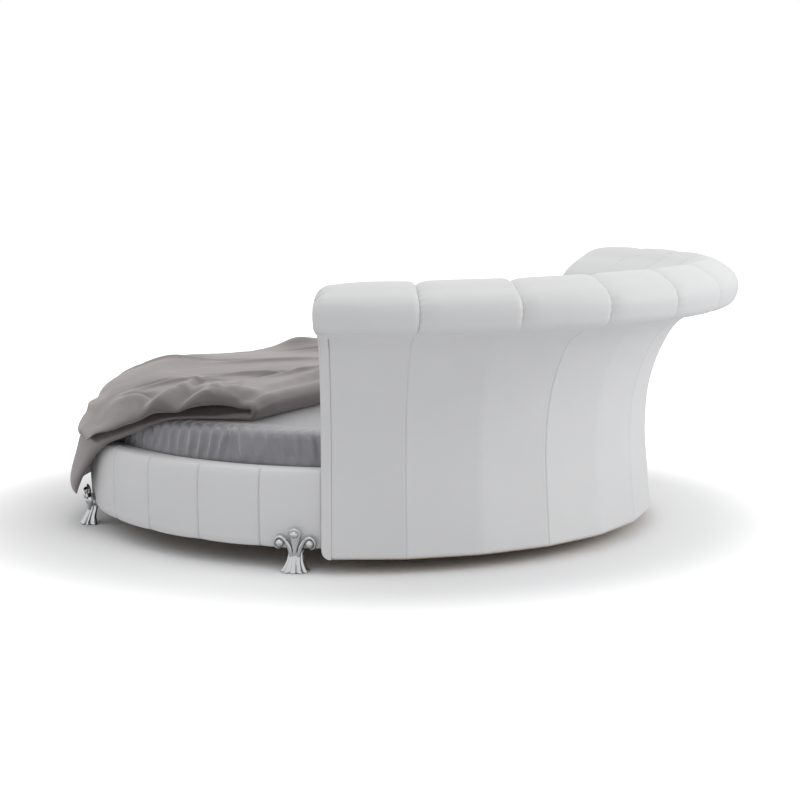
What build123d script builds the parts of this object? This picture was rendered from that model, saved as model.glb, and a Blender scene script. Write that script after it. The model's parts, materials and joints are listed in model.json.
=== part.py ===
from build123d import *
from math import cos, degrees, radians, sin, sqrt
import os

# Round bed with a curved, rolled headboard. Millimetres, +Z up, +Y towards the headboard.
# The origin lies on the floor at the centre of the round mattress.

os.makedirs("parts", exist_ok=True)

# Mattress and fitted sheet
sheet_radius = 1100.0
sheet_thickness = 2.4
mattress_base = 282.0
mattress_height = 240.0
mattress_shoulder = 44.0
mattress_crown = 9.0
mattress_side_draw = 5.0
sheet_tuck = 70.0
soft_gap = 0.3

# Curved boards of the base
mattress_gap = 12.0
board_thickness = 24.0
rail_bottom = 80.0
rail_top = 382.0
rail_wrap = 12.0
rail_pad_depth = 44.0
rail_crown = 7.0
rail_seam_depth = 6.0
rail_top_round = 20.0
rail_bottom_round = 14.0
board_joint_gap = 0.4
curved_gap = 0.3

# Division of the round: the headboard's channels, the rest is rail channels
headboard_arc = 137.7
headboard_channels = 10
end_panel_overhang = 1.5
side_rail_channels = 6
foot_rail_channels = 5

# Headboard wall, each height with its radius
headboard_bottom = 57.0
wall_foot_radius = 1230.0
wall_waist_height = 430.0
wall_waist_radius = 1202.0
wall_belly_height = 240.0
wall_belly_radius = 1214.0
wall_rise_height = 611.0
wall_rise_radius = 1219.0
wall_shoulder_height = 739.0
wall_shoulder_radius = 1262.0
wall_flare_height = 847.0
wall_flare_radius = 1328.0
wall_neck_height = 910.0
wall_neck_radius = 1433.0
wall_facet_depth = 7.0
back_cover_thickness = 10.0
outer_skin_thickness = 6.0
wall_gap = 0.3

# Headboard inner face, set out from the boards' inner radius
inner_flare_start = 470.0
inner_mid_height = 650.0
inner_mid_set = 14.0
inner_flare_height = 790.0
inner_flare_set = 46.0
inner_top_set = 84.0
inner_pad_thickness = 24.0
inner_skin_thickness = 8.0
inner_seam_depth = 6.0

# Rolled lip
roll_inner_side_height = 955.0
roll_inner_side_radius = 1203.0
roll_shoulder_height = 1006.0
roll_shoulder_radius = 1240.0
roll_slope_height = 1063.0
roll_slope_radius = 1330.0
roll_ridge_height = 1107.0
roll_ridge_radius = 1438.0
roll_crest_height = 1078.0
roll_crest_radius = 1507.0
roll_nose_height = 1000.0
roll_nose_radius = 1571.0
roll_cheek_height = 944.0
roll_cheek_radius = 1556.0
roll_under_height = 917.0
roll_under_radius = 1502.0
roll_seam_draw = 9.0
roll_end_drop = 14.0

# Headboard timber
rib_thickness = 18.0
rib_relief = 1.5
plate_thickness = 18.0
head_board_top = 276.0
end_panel_thickness = 12.0

# Mattress support
ledge_width = 34.0
ledge_height = 40.0
slat_thickness = 14.0
slat_width = 60.0
slat_pitch = 104.0
slat_count = 20
slat_end_gap = 6.0
slat_holder_wall = 2.5
slat_holder_length = 96.0
beam_width = 44.0
beam_height = 80.0
side_beam_offset = 520.0
side_beam_end_gap = 6.0
bracket_plate = 3.0
bracket_height = 60.0

# Plain legs with adjustable glides
leg_tube_radius = 25.0
leg_wall = 2.5
leg_flange = 90.0
leg_flange_thickness = 4.0
leg_plug_height = 30.0
glide_rod_radius = 5.0
glide_rod_length = 44.0
glide_bore_gap = 0.3
glide_pad_radius = 26.0
glide_pad_height = 12.0
side_leg_y = 740.0

# Chrome feet
foot_angle = 74.8
foot_rear_angle = 139.0
foot_radius = 1168.0
foot_skirt_width = 107.0
foot_skirt_depth = 94.0
foot_skirt_round = 34.0
foot_waist_width = 58.0
foot_waist_depth = 54.0
foot_waist_round = 20.0
foot_waist_height = 62.0
foot_sole = 3.0
foot_sole_inset = 8.0
foot_skirt_lift = 1.0
foot_face_gap = 4.0
foot_leaf_depth = 24.0
foot_leaf_root = 40.0
foot_head_radius = 25.0
foot_height = 161.0
foot_scroll_radius = 24.0
foot_scroll_offset = 57.0
foot_scroll_height = 108.0
foot_scroll_depth = 36.0
foot_arm_thickness = 17.0
foot_boss_taper = 37.0
arm_inside_share = 0.3
arm_bend_share = 0.8
arm_outer_bend_share = 1.25
arm_sag_share = 0.9
foot_bracket_width = 64.0
foot_bracket_height = 90.0

# Plates, brackets and bolts
joint_plate_height = 120.0
joint_plate_width = 110.0
joint_plate_thickness = 4.0
bolt_head_radius = 8.0
bolt_head_height = 5.0
bolt_radius = 4.0
bolt_length = 22.0
bolt_spacing = 64.0
bolt_gap = 0.2
bolt_row_height = 30.0
joint_plate_base = 101.0
foot_bolt_height = 130.0
foot_bolt_spacing = 36.0

# Duvet, folded back over itself
duvet_clearance = 0.6
duvet_layer = 43.0
duvet_overlap = 3.0
duvet_fold_y = 62.0
duvet_fold_reach = 1085.0
duvet_reach = 1146.0
duvet_upper_reach = 1122.0
duvet_dome = 42.0
duvet_dome_y = -420.0
duvet_dome_radius = 1600.0
duvet_drape_arc = 73.0
duvet_level_arc = 42.0
duvet_drape_steps = 14
duvet_lower_thickness = 24.0
duvet_upper_thickness = 30.0
duvet_rail_gap = 14.0
duvet_hem_side = 490.0
duvet_hem_foot = 172.0
duvet_upper_hem_side = 545.0
duvet_upper_hem_foot = 365.0
duvet_ripple = 12.0
duvet_ripples = 14
duvet_root_radius = 900.0
duvet_root_rise = 5.0
duvet_shoulder_radius = 1090.0
duvet_shoulder_drop = 92.0
duvet_shoulder_round = 14.0

# Worked out from the sizes above
board_inner = sheet_radius + mattress_gap
board_outer = board_inner + board_thickness
rail_outer = board_outer + rail_pad_depth
mattress_top = mattress_base + mattress_height
slat_base = mattress_base - slat_thickness
head_angle = 90.0
head_start = head_angle - headboard_arc / 2
head_end = head_angle + headboard_arc / 2
head_pitch = headboard_arc / headboard_channels
rail_arc = 360.0 - headboard_arc
rail_channel_count = 2 * side_rail_channels + foot_rail_channels
rail_pitch = rail_arc / rail_channel_count
right_start = head_start - side_rail_channels * rail_pitch
foot_start = right_start - foot_rail_channels * rail_pitch
left_start = foot_start - side_rail_channels * rail_pitch
wall_layers = back_cover_thickness + wall_gap + outer_skin_thickness + wall_gap
inner_layers = inner_pad_thickness + wall_gap + inner_skin_thickness + wall_gap
inner_top_radius = board_inner + inner_top_set
top_rail_inner = inner_top_radius + inner_layers + curved_gap
top_rail_outer = ((wall_flare_radius + wall_neck_radius) / 2 - wall_layers - wall_facet_depth
                  - rib_relief)
joint_share = degrees(board_joint_gap / board_inner)
end_arc = degrees(end_panel_thickness / board_inner)
head_inside_start = head_start + end_arc
head_inside_arc = headboard_arc - 2 * end_arc
base_plate_top = headboard_bottom + plate_thickness
top_rail_base = wall_neck_height - plate_thickness
centre_beam_top = slat_base - slat_holder_wall
bolt_hole_radius = bolt_radius + bolt_gap
foot_top = rail_bottom - soft_gap - bracket_plate
foot_face = rail_outer + foot_face_gap


def radial_plane(angle):
    """Upright plane through the bed's axis: local x runs outwards and local y runs up."""
    turn = radians(angle)
    return Plane(origin=(0, 0, 0), x_dir=(cos(turn), sin(turn), 0), z_dir=(sin(turn), -cos(turn), 0))


def standing_plane(angle, radius, height=0.0):
    """Level plane at a place on the round: local x runs outwards, local y along the round."""
    turn = radians(angle)
    origin = (radius * cos(turn), radius * sin(turn), height)
    return Plane(origin=origin, x_dir=(cos(turn), sin(turn), 0), z_dir=(0, 0, 1))


def facing_plane(angle, radius):
    """Upright plane square to the radius, facing out: local x along the round, local y up."""
    turn = radians(angle)
    origin = (radius * cos(turn), radius * sin(turn), 0)
    return Plane(origin=origin, x_dir=(-sin(turn), cos(turn), 0), z_dir=(cos(turn), sin(turn), 0))


def save(builder, name):
    """Label a finished piece and write it."""
    builder.part.label = name
    export_step(builder.part, "parts/" + name + ".step")
    print(name, len(builder.part.solids()), round(builder.part.volume))


def ring_block(angle, inner, outer, low, high):
    """Rectangle in a radial plane between two radii and two heights."""
    with BuildSketch(radial_plane(angle)) as block:
        with BuildLine():
            Polyline((inner, low), (outer, low), (outer, high), (inner, high), close=True)
        make_face()
    return block.sketch


def rail_section(angle, draw):
    """Section of the rail's upholstery, which laps over and under the board; draw pulls it in."""
    inner = board_inner
    back = board_outer + curved_gap
    face = rail_outer - draw
    low = rail_bottom
    high = rail_top - draw / 2
    wrap_low = rail_bottom + rail_wrap - soft_gap
    wrap_high = rail_top - rail_wrap + soft_gap
    middle = (rail_bottom + rail_top) / 2
    shoulder = face - rail_crown
    top_bend = rail_top_round * (1 - sqrt(0.5))
    low_bend = rail_bottom_round * (1 - sqrt(0.5))
    with BuildSketch(radial_plane(angle)) as section:
        with BuildLine():
            Polyline((inner, high), (inner, wrap_high), (back, wrap_high), (back, wrap_low),
                     (inner, wrap_low), (inner, low), (shoulder - rail_bottom_round, low))
            ThreePointArc((shoulder - rail_bottom_round, low), (shoulder - low_bend, low + low_bend),
                          (shoulder, low + rail_bottom_round))
            ThreePointArc((shoulder, low + rail_bottom_round), (face, middle),
                          (shoulder, high - rail_top_round))
            ThreePointArc((shoulder, high - rail_top_round), (shoulder - top_bend, high - top_bend),
                          (shoulder - rail_top_round, high))
            Line((shoulder - rail_top_round, high), (inner, high))
        make_face()
    return section.sketch


def wall_points(inset):
    """Outer line of the headboard wall from its foot to its neck, moved in by an inset."""
    return [(wall_foot_radius - inset, headboard_bottom), (wall_belly_radius - inset, wall_belly_height),
            (wall_waist_radius - inset, wall_waist_height), (wall_rise_radius - inset, wall_rise_height),
            (wall_shoulder_radius - inset, wall_shoulder_height),
            (wall_flare_radius - inset, wall_flare_height), (wall_neck_radius - inset, wall_neck_height)]


def wall_section(angle, outer_inset, thickness):
    """One layer of the headboard wall: two copies of its line, a thickness apart."""
    outer = wall_points(outer_inset)
    inner = wall_points(outer_inset + thickness)
    with BuildSketch(radial_plane(angle)) as section:
        with BuildLine():
            for low in range(0, len(outer) - 1, 2):
                ThreePointArc(outer[low], outer[low + 1], outer[low + 2])
                ThreePointArc(inner[low], inner[low + 1], inner[low + 2])
            Line(outer[0], inner[0])
            Line(outer[-1], inner[-1])
        make_face()
    return section.sketch


def inner_points(outset):
    """Face towards the sleeper, from where it starts to flare up to the roll."""
    return [(board_inner + outset, inner_flare_start),
            (board_inner + inner_mid_set + outset, inner_mid_height),
            (board_inner + inner_flare_set + outset, inner_flare_height),
            (inner_top_radius + outset, wall_neck_height)]


def inner_section(angle, base, outset, thickness, draw):
    """One layer of the headboard's inner side, with its front pushed back by the draw."""
    front = inner_points(outset + draw)
    back = inner_points(outset + thickness)
    with BuildSketch(radial_plane(angle)) as section:
        with BuildLine():
            for line in (front, back):
                Line((line[0][0], base), line[0])
                ThreePointArc(line[0], line[1], line[2])
                Line(line[2], line[3])
            Line((front[0][0], base), (back[0][0], base))
            Line(front[-1], back[-1])
        make_face()
    return section.sketch


def roll_section(angle, draw, drop):
    """Section of the rolled lip; draw pinches it at a seam and drop lowers its ridge."""
    base = wall_neck_height + soft_gap
    start = (inner_top_radius + draw, base)
    side = (roll_inner_side_radius + draw, roll_inner_side_height)
    shoulder = (roll_shoulder_radius + draw, roll_shoulder_height - draw - drop)
    slope = (roll_slope_radius, roll_slope_height - draw - drop)
    ridge = (roll_ridge_radius, roll_ridge_height - draw - drop)
    crest = (roll_crest_radius - draw / 2, roll_crest_height - draw - drop)
    nose = (roll_nose_radius - draw, roll_nose_height - drop / 2)
    cheek = (roll_cheek_radius - draw, roll_cheek_height)
    under = (roll_under_radius - draw, roll_under_height + draw / 2)
    neck = (wall_neck_radius + soft_gap, base)
    with BuildSketch(radial_plane(angle)) as section:
        with BuildLine():
            ThreePointArc(start, side, shoulder)
            ThreePointArc(shoulder, slope, ridge)
            ThreePointArc(ridge, crest, nose)
            ThreePointArc(nose, cheek, under)
            Line(under, neck)
            Line(neck, start)
        make_face()
    return section.sketch


def roll_drop(angle):
    """How far the ridge sinks towards the headboard's two ends."""
    reach = cos(radians(headboard_arc / 2))
    return roll_end_drop * (1 - cos(radians(angle - head_angle))) / (1 - reach)


def plate_reach(width):
    """Distance out to a flat plate of some width that bears on the boards' inner face."""
    return sqrt(board_inner ** 2 - (width / 2) ** 2) - curved_gap


def bolt_plane(angle, across, height, reach):
    """Plane at a bolt's head, facing the bed's middle, across and up from the plate's centre."""
    turn = radians(angle)
    origin = (reach * cos(turn) - across * sin(turn), reach * sin(turn) + across * cos(turn), height)
    return Plane(origin=origin, x_dir=(-sin(turn), cos(turn), 0), z_dir=(cos(turn), sin(turn), 0))


# Where flat plates are bolted to the boards: angle, place across and up, and the plate's face
head_joint_turn = (end_panel_overhang - end_arc) / 2
joint_angles = [head_start - head_joint_turn, head_end + head_joint_turn, right_start, foot_start]
joint_reach = plate_reach(joint_plate_width)
joint_middle = joint_plate_base + joint_plate_height / 2
foot_angles = [head_angle - foot_angle, head_angle - foot_rear_angle, head_angle + foot_rear_angle,
               head_angle + foot_angle]
foot_reach = plate_reach(foot_bracket_width)
joint_bolt_planes = [bolt_plane(angle, across, joint_middle + up, joint_reach)
                     for angle in joint_angles for across in (-bolt_spacing / 2, bolt_spacing / 2)
                     for up in (-bolt_row_height, bolt_row_height)]
foot_bolt_planes = [bolt_plane(angle, across, foot_bolt_height, foot_reach)
                    for angle in foot_angles for across in (-foot_bolt_spacing / 2, foot_bolt_spacing / 2)]

# Base: three curved boards, their upholstery and the ledges inside them
sections = [("right", right_start, side_rail_channels, 0, end_panel_overhang),
            ("foot", foot_start, foot_rail_channels, 0, 0),
            ("left", left_start, side_rail_channels, end_panel_overhang, 0)]
for side, start, count, low_trim, high_trim in sections:
    arc = count * rail_pitch - low_trim - high_trim - 2 * joint_share
    low_edge = rail_bottom + rail_wrap
    high_edge = rail_top - rail_wrap
    with BuildPart() as board:
        add(ring_block(start + low_trim + joint_share, board_inner, board_outer, low_edge, high_edge))
        revolve(axis=Axis.Z, revolution_arc=arc)
        for place in joint_bolt_planes + foot_bolt_planes:
            with BuildSketch(place):
                Circle(bolt_hole_radius)
            extrude(amount=bolt_length + curved_gap, mode=Mode.SUBTRACT)
    save(board, "rail_" + side + "_board")

    with BuildPart() as pad:
        for step in range(count):
            seam = start + step * rail_pitch
            low = max(seam, start + low_trim)
            high = min(seam + rail_pitch, start + count * rail_pitch - high_trim)
            loft(sections=[rail_section(low, rail_seam_depth), rail_section((low + high) / 2, 0),
                           rail_section(high, rail_seam_depth)])
    save(pad, "rail_" + side + "_cover")

ledge_outer = board_inner - curved_gap
ledge_inner = ledge_outer - ledge_width
ledges = [("right", right_start, side_rail_channels * rail_pitch),
          ("foot", foot_start, foot_rail_channels * rail_pitch),
          ("left", left_start, side_rail_channels * rail_pitch), ("head", head_start, headboard_arc)]
for side, start, arc in ledges:
    with BuildPart() as ledge:
        add(ring_block(start + joint_share, ledge_inner, ledge_outer, slat_base - ledge_height, slat_base))
        revolve(axis=Axis.Z, revolution_arc=arc - 2 * joint_share)
    save(ledge, "ledge_" + side)

# Headboard timber: base plate, low board, ribs, top rail and the two bent skins
with BuildPart() as base_plate:
    plate_outer = wall_waist_radius - wall_layers - wall_facet_depth - curved_gap
    add(ring_block(head_inside_start, board_inner, plate_outer, headboard_bottom, base_plate_top))
    revolve(axis=Axis.Z, revolution_arc=head_inside_arc)
save(base_plate, "headboard_base_plate")

with BuildPart() as low_board:
    add(ring_block(head_inside_start, board_inner, board_outer, base_plate_top, head_board_top))
    revolve(axis=Axis.Z, revolution_arc=head_inside_arc)
    for place in joint_bolt_planes:
        with BuildSketch(place):
            Circle(bolt_hole_radius)
        extrude(amount=bolt_length + curved_gap, mode=Mode.SUBTRACT)
save(low_board, "headboard_low_board")

with BuildPart() as top_rail:
    add(ring_block(head_inside_start, top_rail_inner, top_rail_outer, top_rail_base, wall_neck_height))
    revolve(axis=Axis.Z, revolution_arc=head_inside_arc)
save(top_rail, "headboard_top_rail")

rib_inset = wall_layers + wall_facet_depth / 2 + rib_relief
end_rib_turn = end_arc + degrees(rib_thickness / 2 / board_inner)
with BuildPart() as ribs:
    for step in range(headboard_channels + 1):
        lean = min(max(step * head_pitch, end_rib_turn), headboard_arc - end_rib_turn)
        outer = wall_points(rib_inset)
        inner = inner_points(inner_layers)
        with BuildSketch(radial_plane(head_start + lean)):
            with BuildLine():
                for low in range(0, len(outer) - 1, 2):
                    ThreePointArc(outer[low], outer[low + 1], outer[low + 2])
                Line((inner[0][0], headboard_bottom), inner[0])
                ThreePointArc(inner[0], inner[1], inner[2])
                Line(inner[2], inner[3])
                Line(outer[0], (inner[0][0], headboard_bottom))
                Line(outer[-1], inner[-1])
            make_face()
        extrude(amount=rib_thickness / 2, both=True)
    split(bisect_by=Plane.XY.offset(base_plate_top), keep=Keep.TOP)
    split(bisect_by=Plane.XY.offset(top_rail_base), keep=Keep.BOTTOM)
save(ribs, "headboard_ribs")

with BuildPart() as inner_skin:
    outset = inner_pad_thickness + wall_gap
    add(inner_section(head_inside_start, base_plate_top, outset, inner_skin_thickness, 0))
    revolve(axis=Axis.Z, revolution_arc=head_inside_arc)
save(inner_skin, "headboard_inner_skin")

# Layers that follow the channels: each runs from seam to seam, inside the end panels
seams = [head_start + step * head_pitch for step in range(headboard_channels + 1)]
inside_seams = [head_inside_start] + seams[1:-1] + [head_end - end_arc]
middles = [(low + high) / 2 for low, high in zip(seams, seams[1:])]

with BuildPart() as outer_skin:
    inset = back_cover_thickness + wall_gap
    for low, middle, high in zip(inside_seams, middles, inside_seams[1:]):
        loft(sections=[wall_section(low, inset, outer_skin_thickness),
                       wall_section(middle, inset + wall_facet_depth, outer_skin_thickness),
                       wall_section(high, inset, outer_skin_thickness)])
save(outer_skin, "headboard_outer_skin")

with BuildPart() as back_cover:
    for low, middle, high in zip(inside_seams, middles, inside_seams[1:]):
        loft(sections=[wall_section(low, 0, back_cover_thickness),
                       wall_section(middle, wall_facet_depth, back_cover_thickness),
                       wall_section(high, 0, back_cover_thickness)])
save(back_cover, "headboard_back_cover")

with BuildPart() as inner_pad:
    pad_base = head_board_top + soft_gap
    for low, middle, high in zip(inside_seams, middles, inside_seams[1:]):
        loft(sections=[inner_section(low, pad_base, 0, inner_pad_thickness, inner_seam_depth),
                       inner_section(middle, pad_base, 0, inner_pad_thickness, 0),
                       inner_section(high, pad_base, 0, inner_pad_thickness, inner_seam_depth)])
save(inner_pad, "headboard_inner_pad")

# End panels: their outer face is a flat cut that reaches past the last channel at the rail
for side, turn, way in (("right", head_start + end_arc - joint_share, -1),
                        ("left", head_end - end_arc + joint_share, 1)):
    edge = head_angle + way * (headboard_arc / 2 + end_panel_overhang)
    neck = head_angle + way * headboard_arc / 2
    low_corner = (board_inner * cos(radians(edge)), board_inner * sin(radians(edge)))
    far_corner = (wall_neck_radius * cos(radians(neck)), wall_neck_radius * sin(radians(neck)))
    along = (far_corner[0] - low_corner[0], far_corner[1] - low_corner[1], 0)
    with BuildPart() as end_panel:
        outer = wall_points(0)
        inner = inner_points(0)
        with BuildSketch(radial_plane(turn)):
            with BuildLine():
                for low in range(0, len(outer) - 1, 2):
                    ThreePointArc(outer[low], outer[low + 1], outer[low + 2])
                Line((inner[0][0], headboard_bottom), inner[0])
                ThreePointArc(inner[0], inner[1], inner[2])
                Line(inner[2], inner[3])
                Line(outer[0], (inner[0][0], headboard_bottom))
                Line(outer[-1], inner[-1])
            make_face()
        revolve(axis=Axis.Z, revolution_arc=way * 2 * (end_arc + end_panel_overhang))
        split(bisect_by=Plane(origin=(low_corner[0], low_corner[1], 0), x_dir=along,
                              z_dir=(along[1] * way, -along[0] * way, 0)), keep=Keep.TOP)
    save(end_panel, "headboard_end_" + side)

# Rolled lip: one stuffed pad on each channel
for number, (low, middle, high) in enumerate(zip(seams, middles, seams[1:]), 1):
    with BuildPart() as roll_pad:
        loft(sections=[roll_section(low, roll_seam_draw, roll_drop(low)),
                       roll_section(middle, 0, roll_drop(middle)),
                       roll_section(high, roll_seam_draw, roll_drop(high))])
    save(roll_pad, "roll_pad_" + str(number).zfill(2))

# Plates and bolts where the boards and the headboard meet
with BuildPart() as joint_plates:
    for angle in joint_angles:
        with BuildSketch(facing_plane(angle, joint_reach)):
            with Locations((0, joint_middle)):
                RectangleRounded(joint_plate_width, joint_plate_height, bolt_head_radius)
        extrude(amount=-joint_plate_thickness)
    for place in joint_bolt_planes:
        with BuildSketch(place):
            Circle(bolt_hole_radius)
        extrude(amount=-joint_plate_thickness, mode=Mode.SUBTRACT)
save(joint_plates, "joint_plates")

for name, places, thickness in (("joint_bolts", joint_bolt_planes, joint_plate_thickness),
                                ("foot_bracket_bolts", foot_bolt_planes, bracket_plate)):
    with BuildPart() as bolts:
        for place in places:
            with BuildSketch(place.offset(-thickness)):
                RegularPolygon(bolt_head_radius, 6)
            extrude(amount=-bolt_head_height)
            with BuildSketch(place.offset(-thickness)):
                Circle(bolt_radius)
            extrude(amount=thickness + bolt_length)
    save(bolts, name)

# Mattress support: beams under bent slats, with trays over the centre beam
centre_beam_end = sqrt(ledge_inner ** 2 - (beam_width / 2) ** 2) - side_beam_end_gap
side_beam_end = sqrt(ledge_inner ** 2 - (side_beam_offset + beam_width / 2) ** 2) - side_beam_end_gap
beams = [("centre_beam", 0, centre_beam_end, centre_beam_top),
         ("right_beam", side_beam_offset, side_beam_end, slat_base),
         ("left_beam", -side_beam_offset, side_beam_end, slat_base)]
for name, offset, reach, top in beams:
    with BuildPart() as beam:
        with BuildSketch(Plane.XY.offset(top - beam_height)):
            with Locations((offset, 0)):
                Rectangle(beam_width, 2 * reach)
        extrude(amount=beam_height)
    save(beam, name)

with BuildPart() as beam_brackets:
    for name, offset, reach, top in beams:
        seat = sqrt(board_inner ** 2 - (abs(offset) + beam_width / 2) ** 2) - curved_gap
        shelf = bracket_height + seat - reach
        for end in (-1, 1):
            with BuildSketch(Plane.XY.offset(top - beam_height - bracket_plate)):
                with Locations((offset, end * (seat - shelf / 2))):
                    Rectangle(beam_width, shelf)
            extrude(amount=bracket_plate)
            with BuildSketch(Plane.XY.offset(top - beam_height)):
                with Locations((offset, end * (seat - bracket_plate / 2))):
                    Rectangle(beam_width, bracket_plate)
            extrude(amount=slat_base - ledge_height - curved_gap - top + beam_height)
save(beam_brackets, "beam_brackets")

slat_places = [(step - (slat_count - 1) / 2) * slat_pitch for step in range(slat_count)]
slat_start = (slat_holder_wall + slat_end_gap) / 2
for side, way in (("right", 1), ("left", -1)):
    with BuildPart() as slats:
        for place in slat_places:
            far_edge = abs(place) + slat_width / 2
            end = sqrt((ledge_outer - slat_end_gap) ** 2 - far_edge ** 2)
            with BuildSketch(Plane.XY.offset(slat_base)):
                with Locations((way * (slat_start + end) / 2, place)):
                    Rectangle(end - slat_start, slat_width)
            extrude(amount=slat_thickness)
    save(slats, "slats_" + side)

with BuildPart() as slat_holders:
    tray_width = slat_width + 2 * (slat_holder_wall + soft_gap)
    inside = Plane.XY.offset(slat_base)
    for place in slat_places:
        with BuildSketch(Plane.XY.offset(centre_beam_top)):
            with Locations((0, place)):
                RectangleRounded(slat_holder_length, tray_width, slat_holder_wall)
        extrude(amount=slat_holder_wall + slat_thickness - slat_holder_wall / 2)
        with BuildSketch(inside):
            for way in (-1, 1):
                with Locations((way * (slat_holder_wall / 2 + slat_holder_length / 2), place)):
                    Rectangle(slat_holder_length, slat_width + 2 * soft_gap)
        extrude(amount=slat_thickness, mode=Mode.SUBTRACT)
save(slat_holders, "slat_holders")

# Plain legs, each with a glide that screws out of its plug
legs = [("centre", 0, 0, centre_beam_top - beam_height),
        ("head_right", side_beam_offset, side_leg_y, slat_base - beam_height),
        ("head_left", -side_beam_offset, side_leg_y, slat_base - beam_height)]
for name, x, y, top in legs:
    foot = glide_pad_height
    flange_base = top - leg_flange_thickness
    with BuildPart() as leg:
        with BuildSketch(Plane.XY.offset(foot)):
            with Locations((x, y)):
                Circle(leg_tube_radius)
        extrude(amount=flange_base - foot)
        with BuildSketch(Plane.XY.offset(flange_base)):
            with Locations((x, y)):
                RectangleRounded(leg_flange, leg_flange, leg_flange_thickness)
        extrude(amount=leg_flange_thickness)
        with BuildSketch(Plane.XY.offset(foot + leg_plug_height)):
            with Locations((x, y)):
                Circle(leg_tube_radius - leg_wall)
        extrude(amount=flange_base - foot - leg_plug_height, mode=Mode.SUBTRACT)
        with BuildSketch(Plane.XY.offset(foot)):
            with Locations((x, y)):
                Circle(glide_rod_radius + glide_bore_gap)
        extrude(amount=leg_plug_height, mode=Mode.SUBTRACT)
    save(leg, name + "_leg")

    with BuildPart() as glide:
        with BuildSketch():
            with Locations((x, y)):
                Circle(glide_pad_radius)
        extrude(amount=glide_pad_height)
        chamfer(glide.edges().group_by(Axis.Z)[0], glide_pad_height / 6)
        with BuildSketch(Plane.XY.offset(glide_pad_height)):
            with Locations((x, y)):
                Circle(glide_rod_radius)
        extrude(amount=glide_rod_length)
    save(glide, name + "_glide")

# Chrome feet: a fluted skirt, a middle leaf with a round head and two side scrolls
foot_names = ["chrome_foot_head_right", "chrome_foot_end_right", "chrome_foot_end_left",
              "chrome_foot_head_left"]
head_height = foot_height - foot_head_radius
arm_root = foot_waist_width / 2
arm_top = foot_scroll_height + foot_scroll_radius
arm_inner_top = arm_top - foot_arm_thickness
for name, angle in zip(foot_names, foot_angles):
    with BuildPart() as foot:
        skirt_foot = standing_plane(angle, foot_radius, foot_skirt_lift)
        waist = standing_plane(angle, foot_radius, foot_waist_height)
        with BuildSketch(skirt_foot):
            RectangleRounded(foot_skirt_depth, foot_skirt_width, foot_skirt_round)
        with BuildSketch(waist):
            RectangleRounded(foot_waist_depth, foot_waist_width, foot_waist_round)
        loft()
        with BuildSketch(waist):
            RectangleRounded(foot_waist_depth, foot_waist_width, foot_waist_round)
        extrude(amount=foot_top - foot_waist_height)
        with BuildSketch(skirt_foot):
            RectangleRounded(foot_skirt_depth - 2 * foot_sole_inset + 2 * soft_gap,
                             foot_skirt_width - 2 * foot_sole_inset + 2 * soft_gap,
                             foot_skirt_round - foot_sole_inset)
        extrude(amount=foot_sole - foot_skirt_lift, mode=Mode.SUBTRACT)
        front = facing_plane(angle, foot_face)
        with BuildSketch(front):
            with BuildLine():
                Polyline((-foot_leaf_root / 2, foot_waist_height / 2),
                         (foot_leaf_root / 2, foot_waist_height / 2),
                         (foot_head_radius, head_height), (-foot_head_radius, head_height), close=True)
            make_face()
            with Locations((0, head_height)):
                Circle(foot_head_radius)
        extrude(amount=foot_leaf_depth - foot_head_radius / 3)
        with BuildSketch(front.offset(foot_leaf_depth - foot_head_radius / 3)):
            with Locations((0, head_height)):
                Circle(foot_head_radius)
        extrude(amount=foot_head_radius / 2, taper=foot_boss_taper)
        for way in (-1, 1):
            with BuildSketch(front):
                with BuildLine():
                    ThreePointArc((way * arm_root * arm_inside_share, foot_waist_height),
                                  (way * arm_root * arm_bend_share, foot_scroll_height),
                                  (way * foot_scroll_offset, arm_top))
                    Line((way * foot_scroll_offset, arm_top), (way * foot_scroll_offset, arm_inner_top))
                    ThreePointArc((way * foot_scroll_offset, arm_inner_top),
                                  (way * arm_root * arm_outer_bend_share,
                                   foot_scroll_height * arm_sag_share),
                                  (way * arm_root, foot_waist_height))
                    Line((way * arm_root, foot_waist_height),
                         (way * arm_root * arm_inside_share, foot_waist_height))
                make_face()
                with Locations((way * foot_scroll_offset, foot_scroll_height)):
                    Circle(foot_scroll_radius)
            extrude(amount=foot_leaf_depth)
            with BuildSketch(front.offset(foot_leaf_depth)):
                with Locations((way * foot_scroll_offset, foot_scroll_height)):
                    Circle(foot_scroll_radius)
            extrude(amount=foot_scroll_depth - foot_leaf_depth, taper=foot_boss_taper)
    save(foot, name)

with BuildPart() as foot_soles:
    for angle in foot_angles:
        with BuildSketch(standing_plane(angle, foot_radius)):
            RectangleRounded(foot_skirt_depth - 2 * foot_sole_inset, foot_skirt_width - 2 * foot_sole_inset,
                             foot_skirt_round - foot_sole_inset)
        extrude(amount=foot_sole)
save(foot_soles, "foot_soles")

with BuildPart() as foot_brackets:
    shelf_inner = foot_reach - bracket_plate
    for angle in foot_angles:
        with BuildSketch(standing_plane(angle, (shelf_inner + rail_outer) / 2, foot_top)):
            Rectangle(rail_outer - shelf_inner, foot_bracket_width)
        extrude(amount=bracket_plate)
        with BuildSketch(standing_plane(angle, foot_reach - bracket_plate / 2, foot_top)):
            Rectangle(bracket_plate, foot_bracket_width)
        extrude(amount=foot_bracket_height)
    for place in foot_bolt_planes:
        with BuildSketch(place):
            Circle(bolt_hole_radius)
        extrude(amount=-bracket_plate, mode=Mode.SUBTRACT)
save(foot_brackets, "foot_brackets")

# Mattress core and the fitted sheet drawn over it
core_radius = sheet_radius - sheet_thickness - soft_gap
tuck_inner = sheet_radius - sheet_tuck


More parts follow.
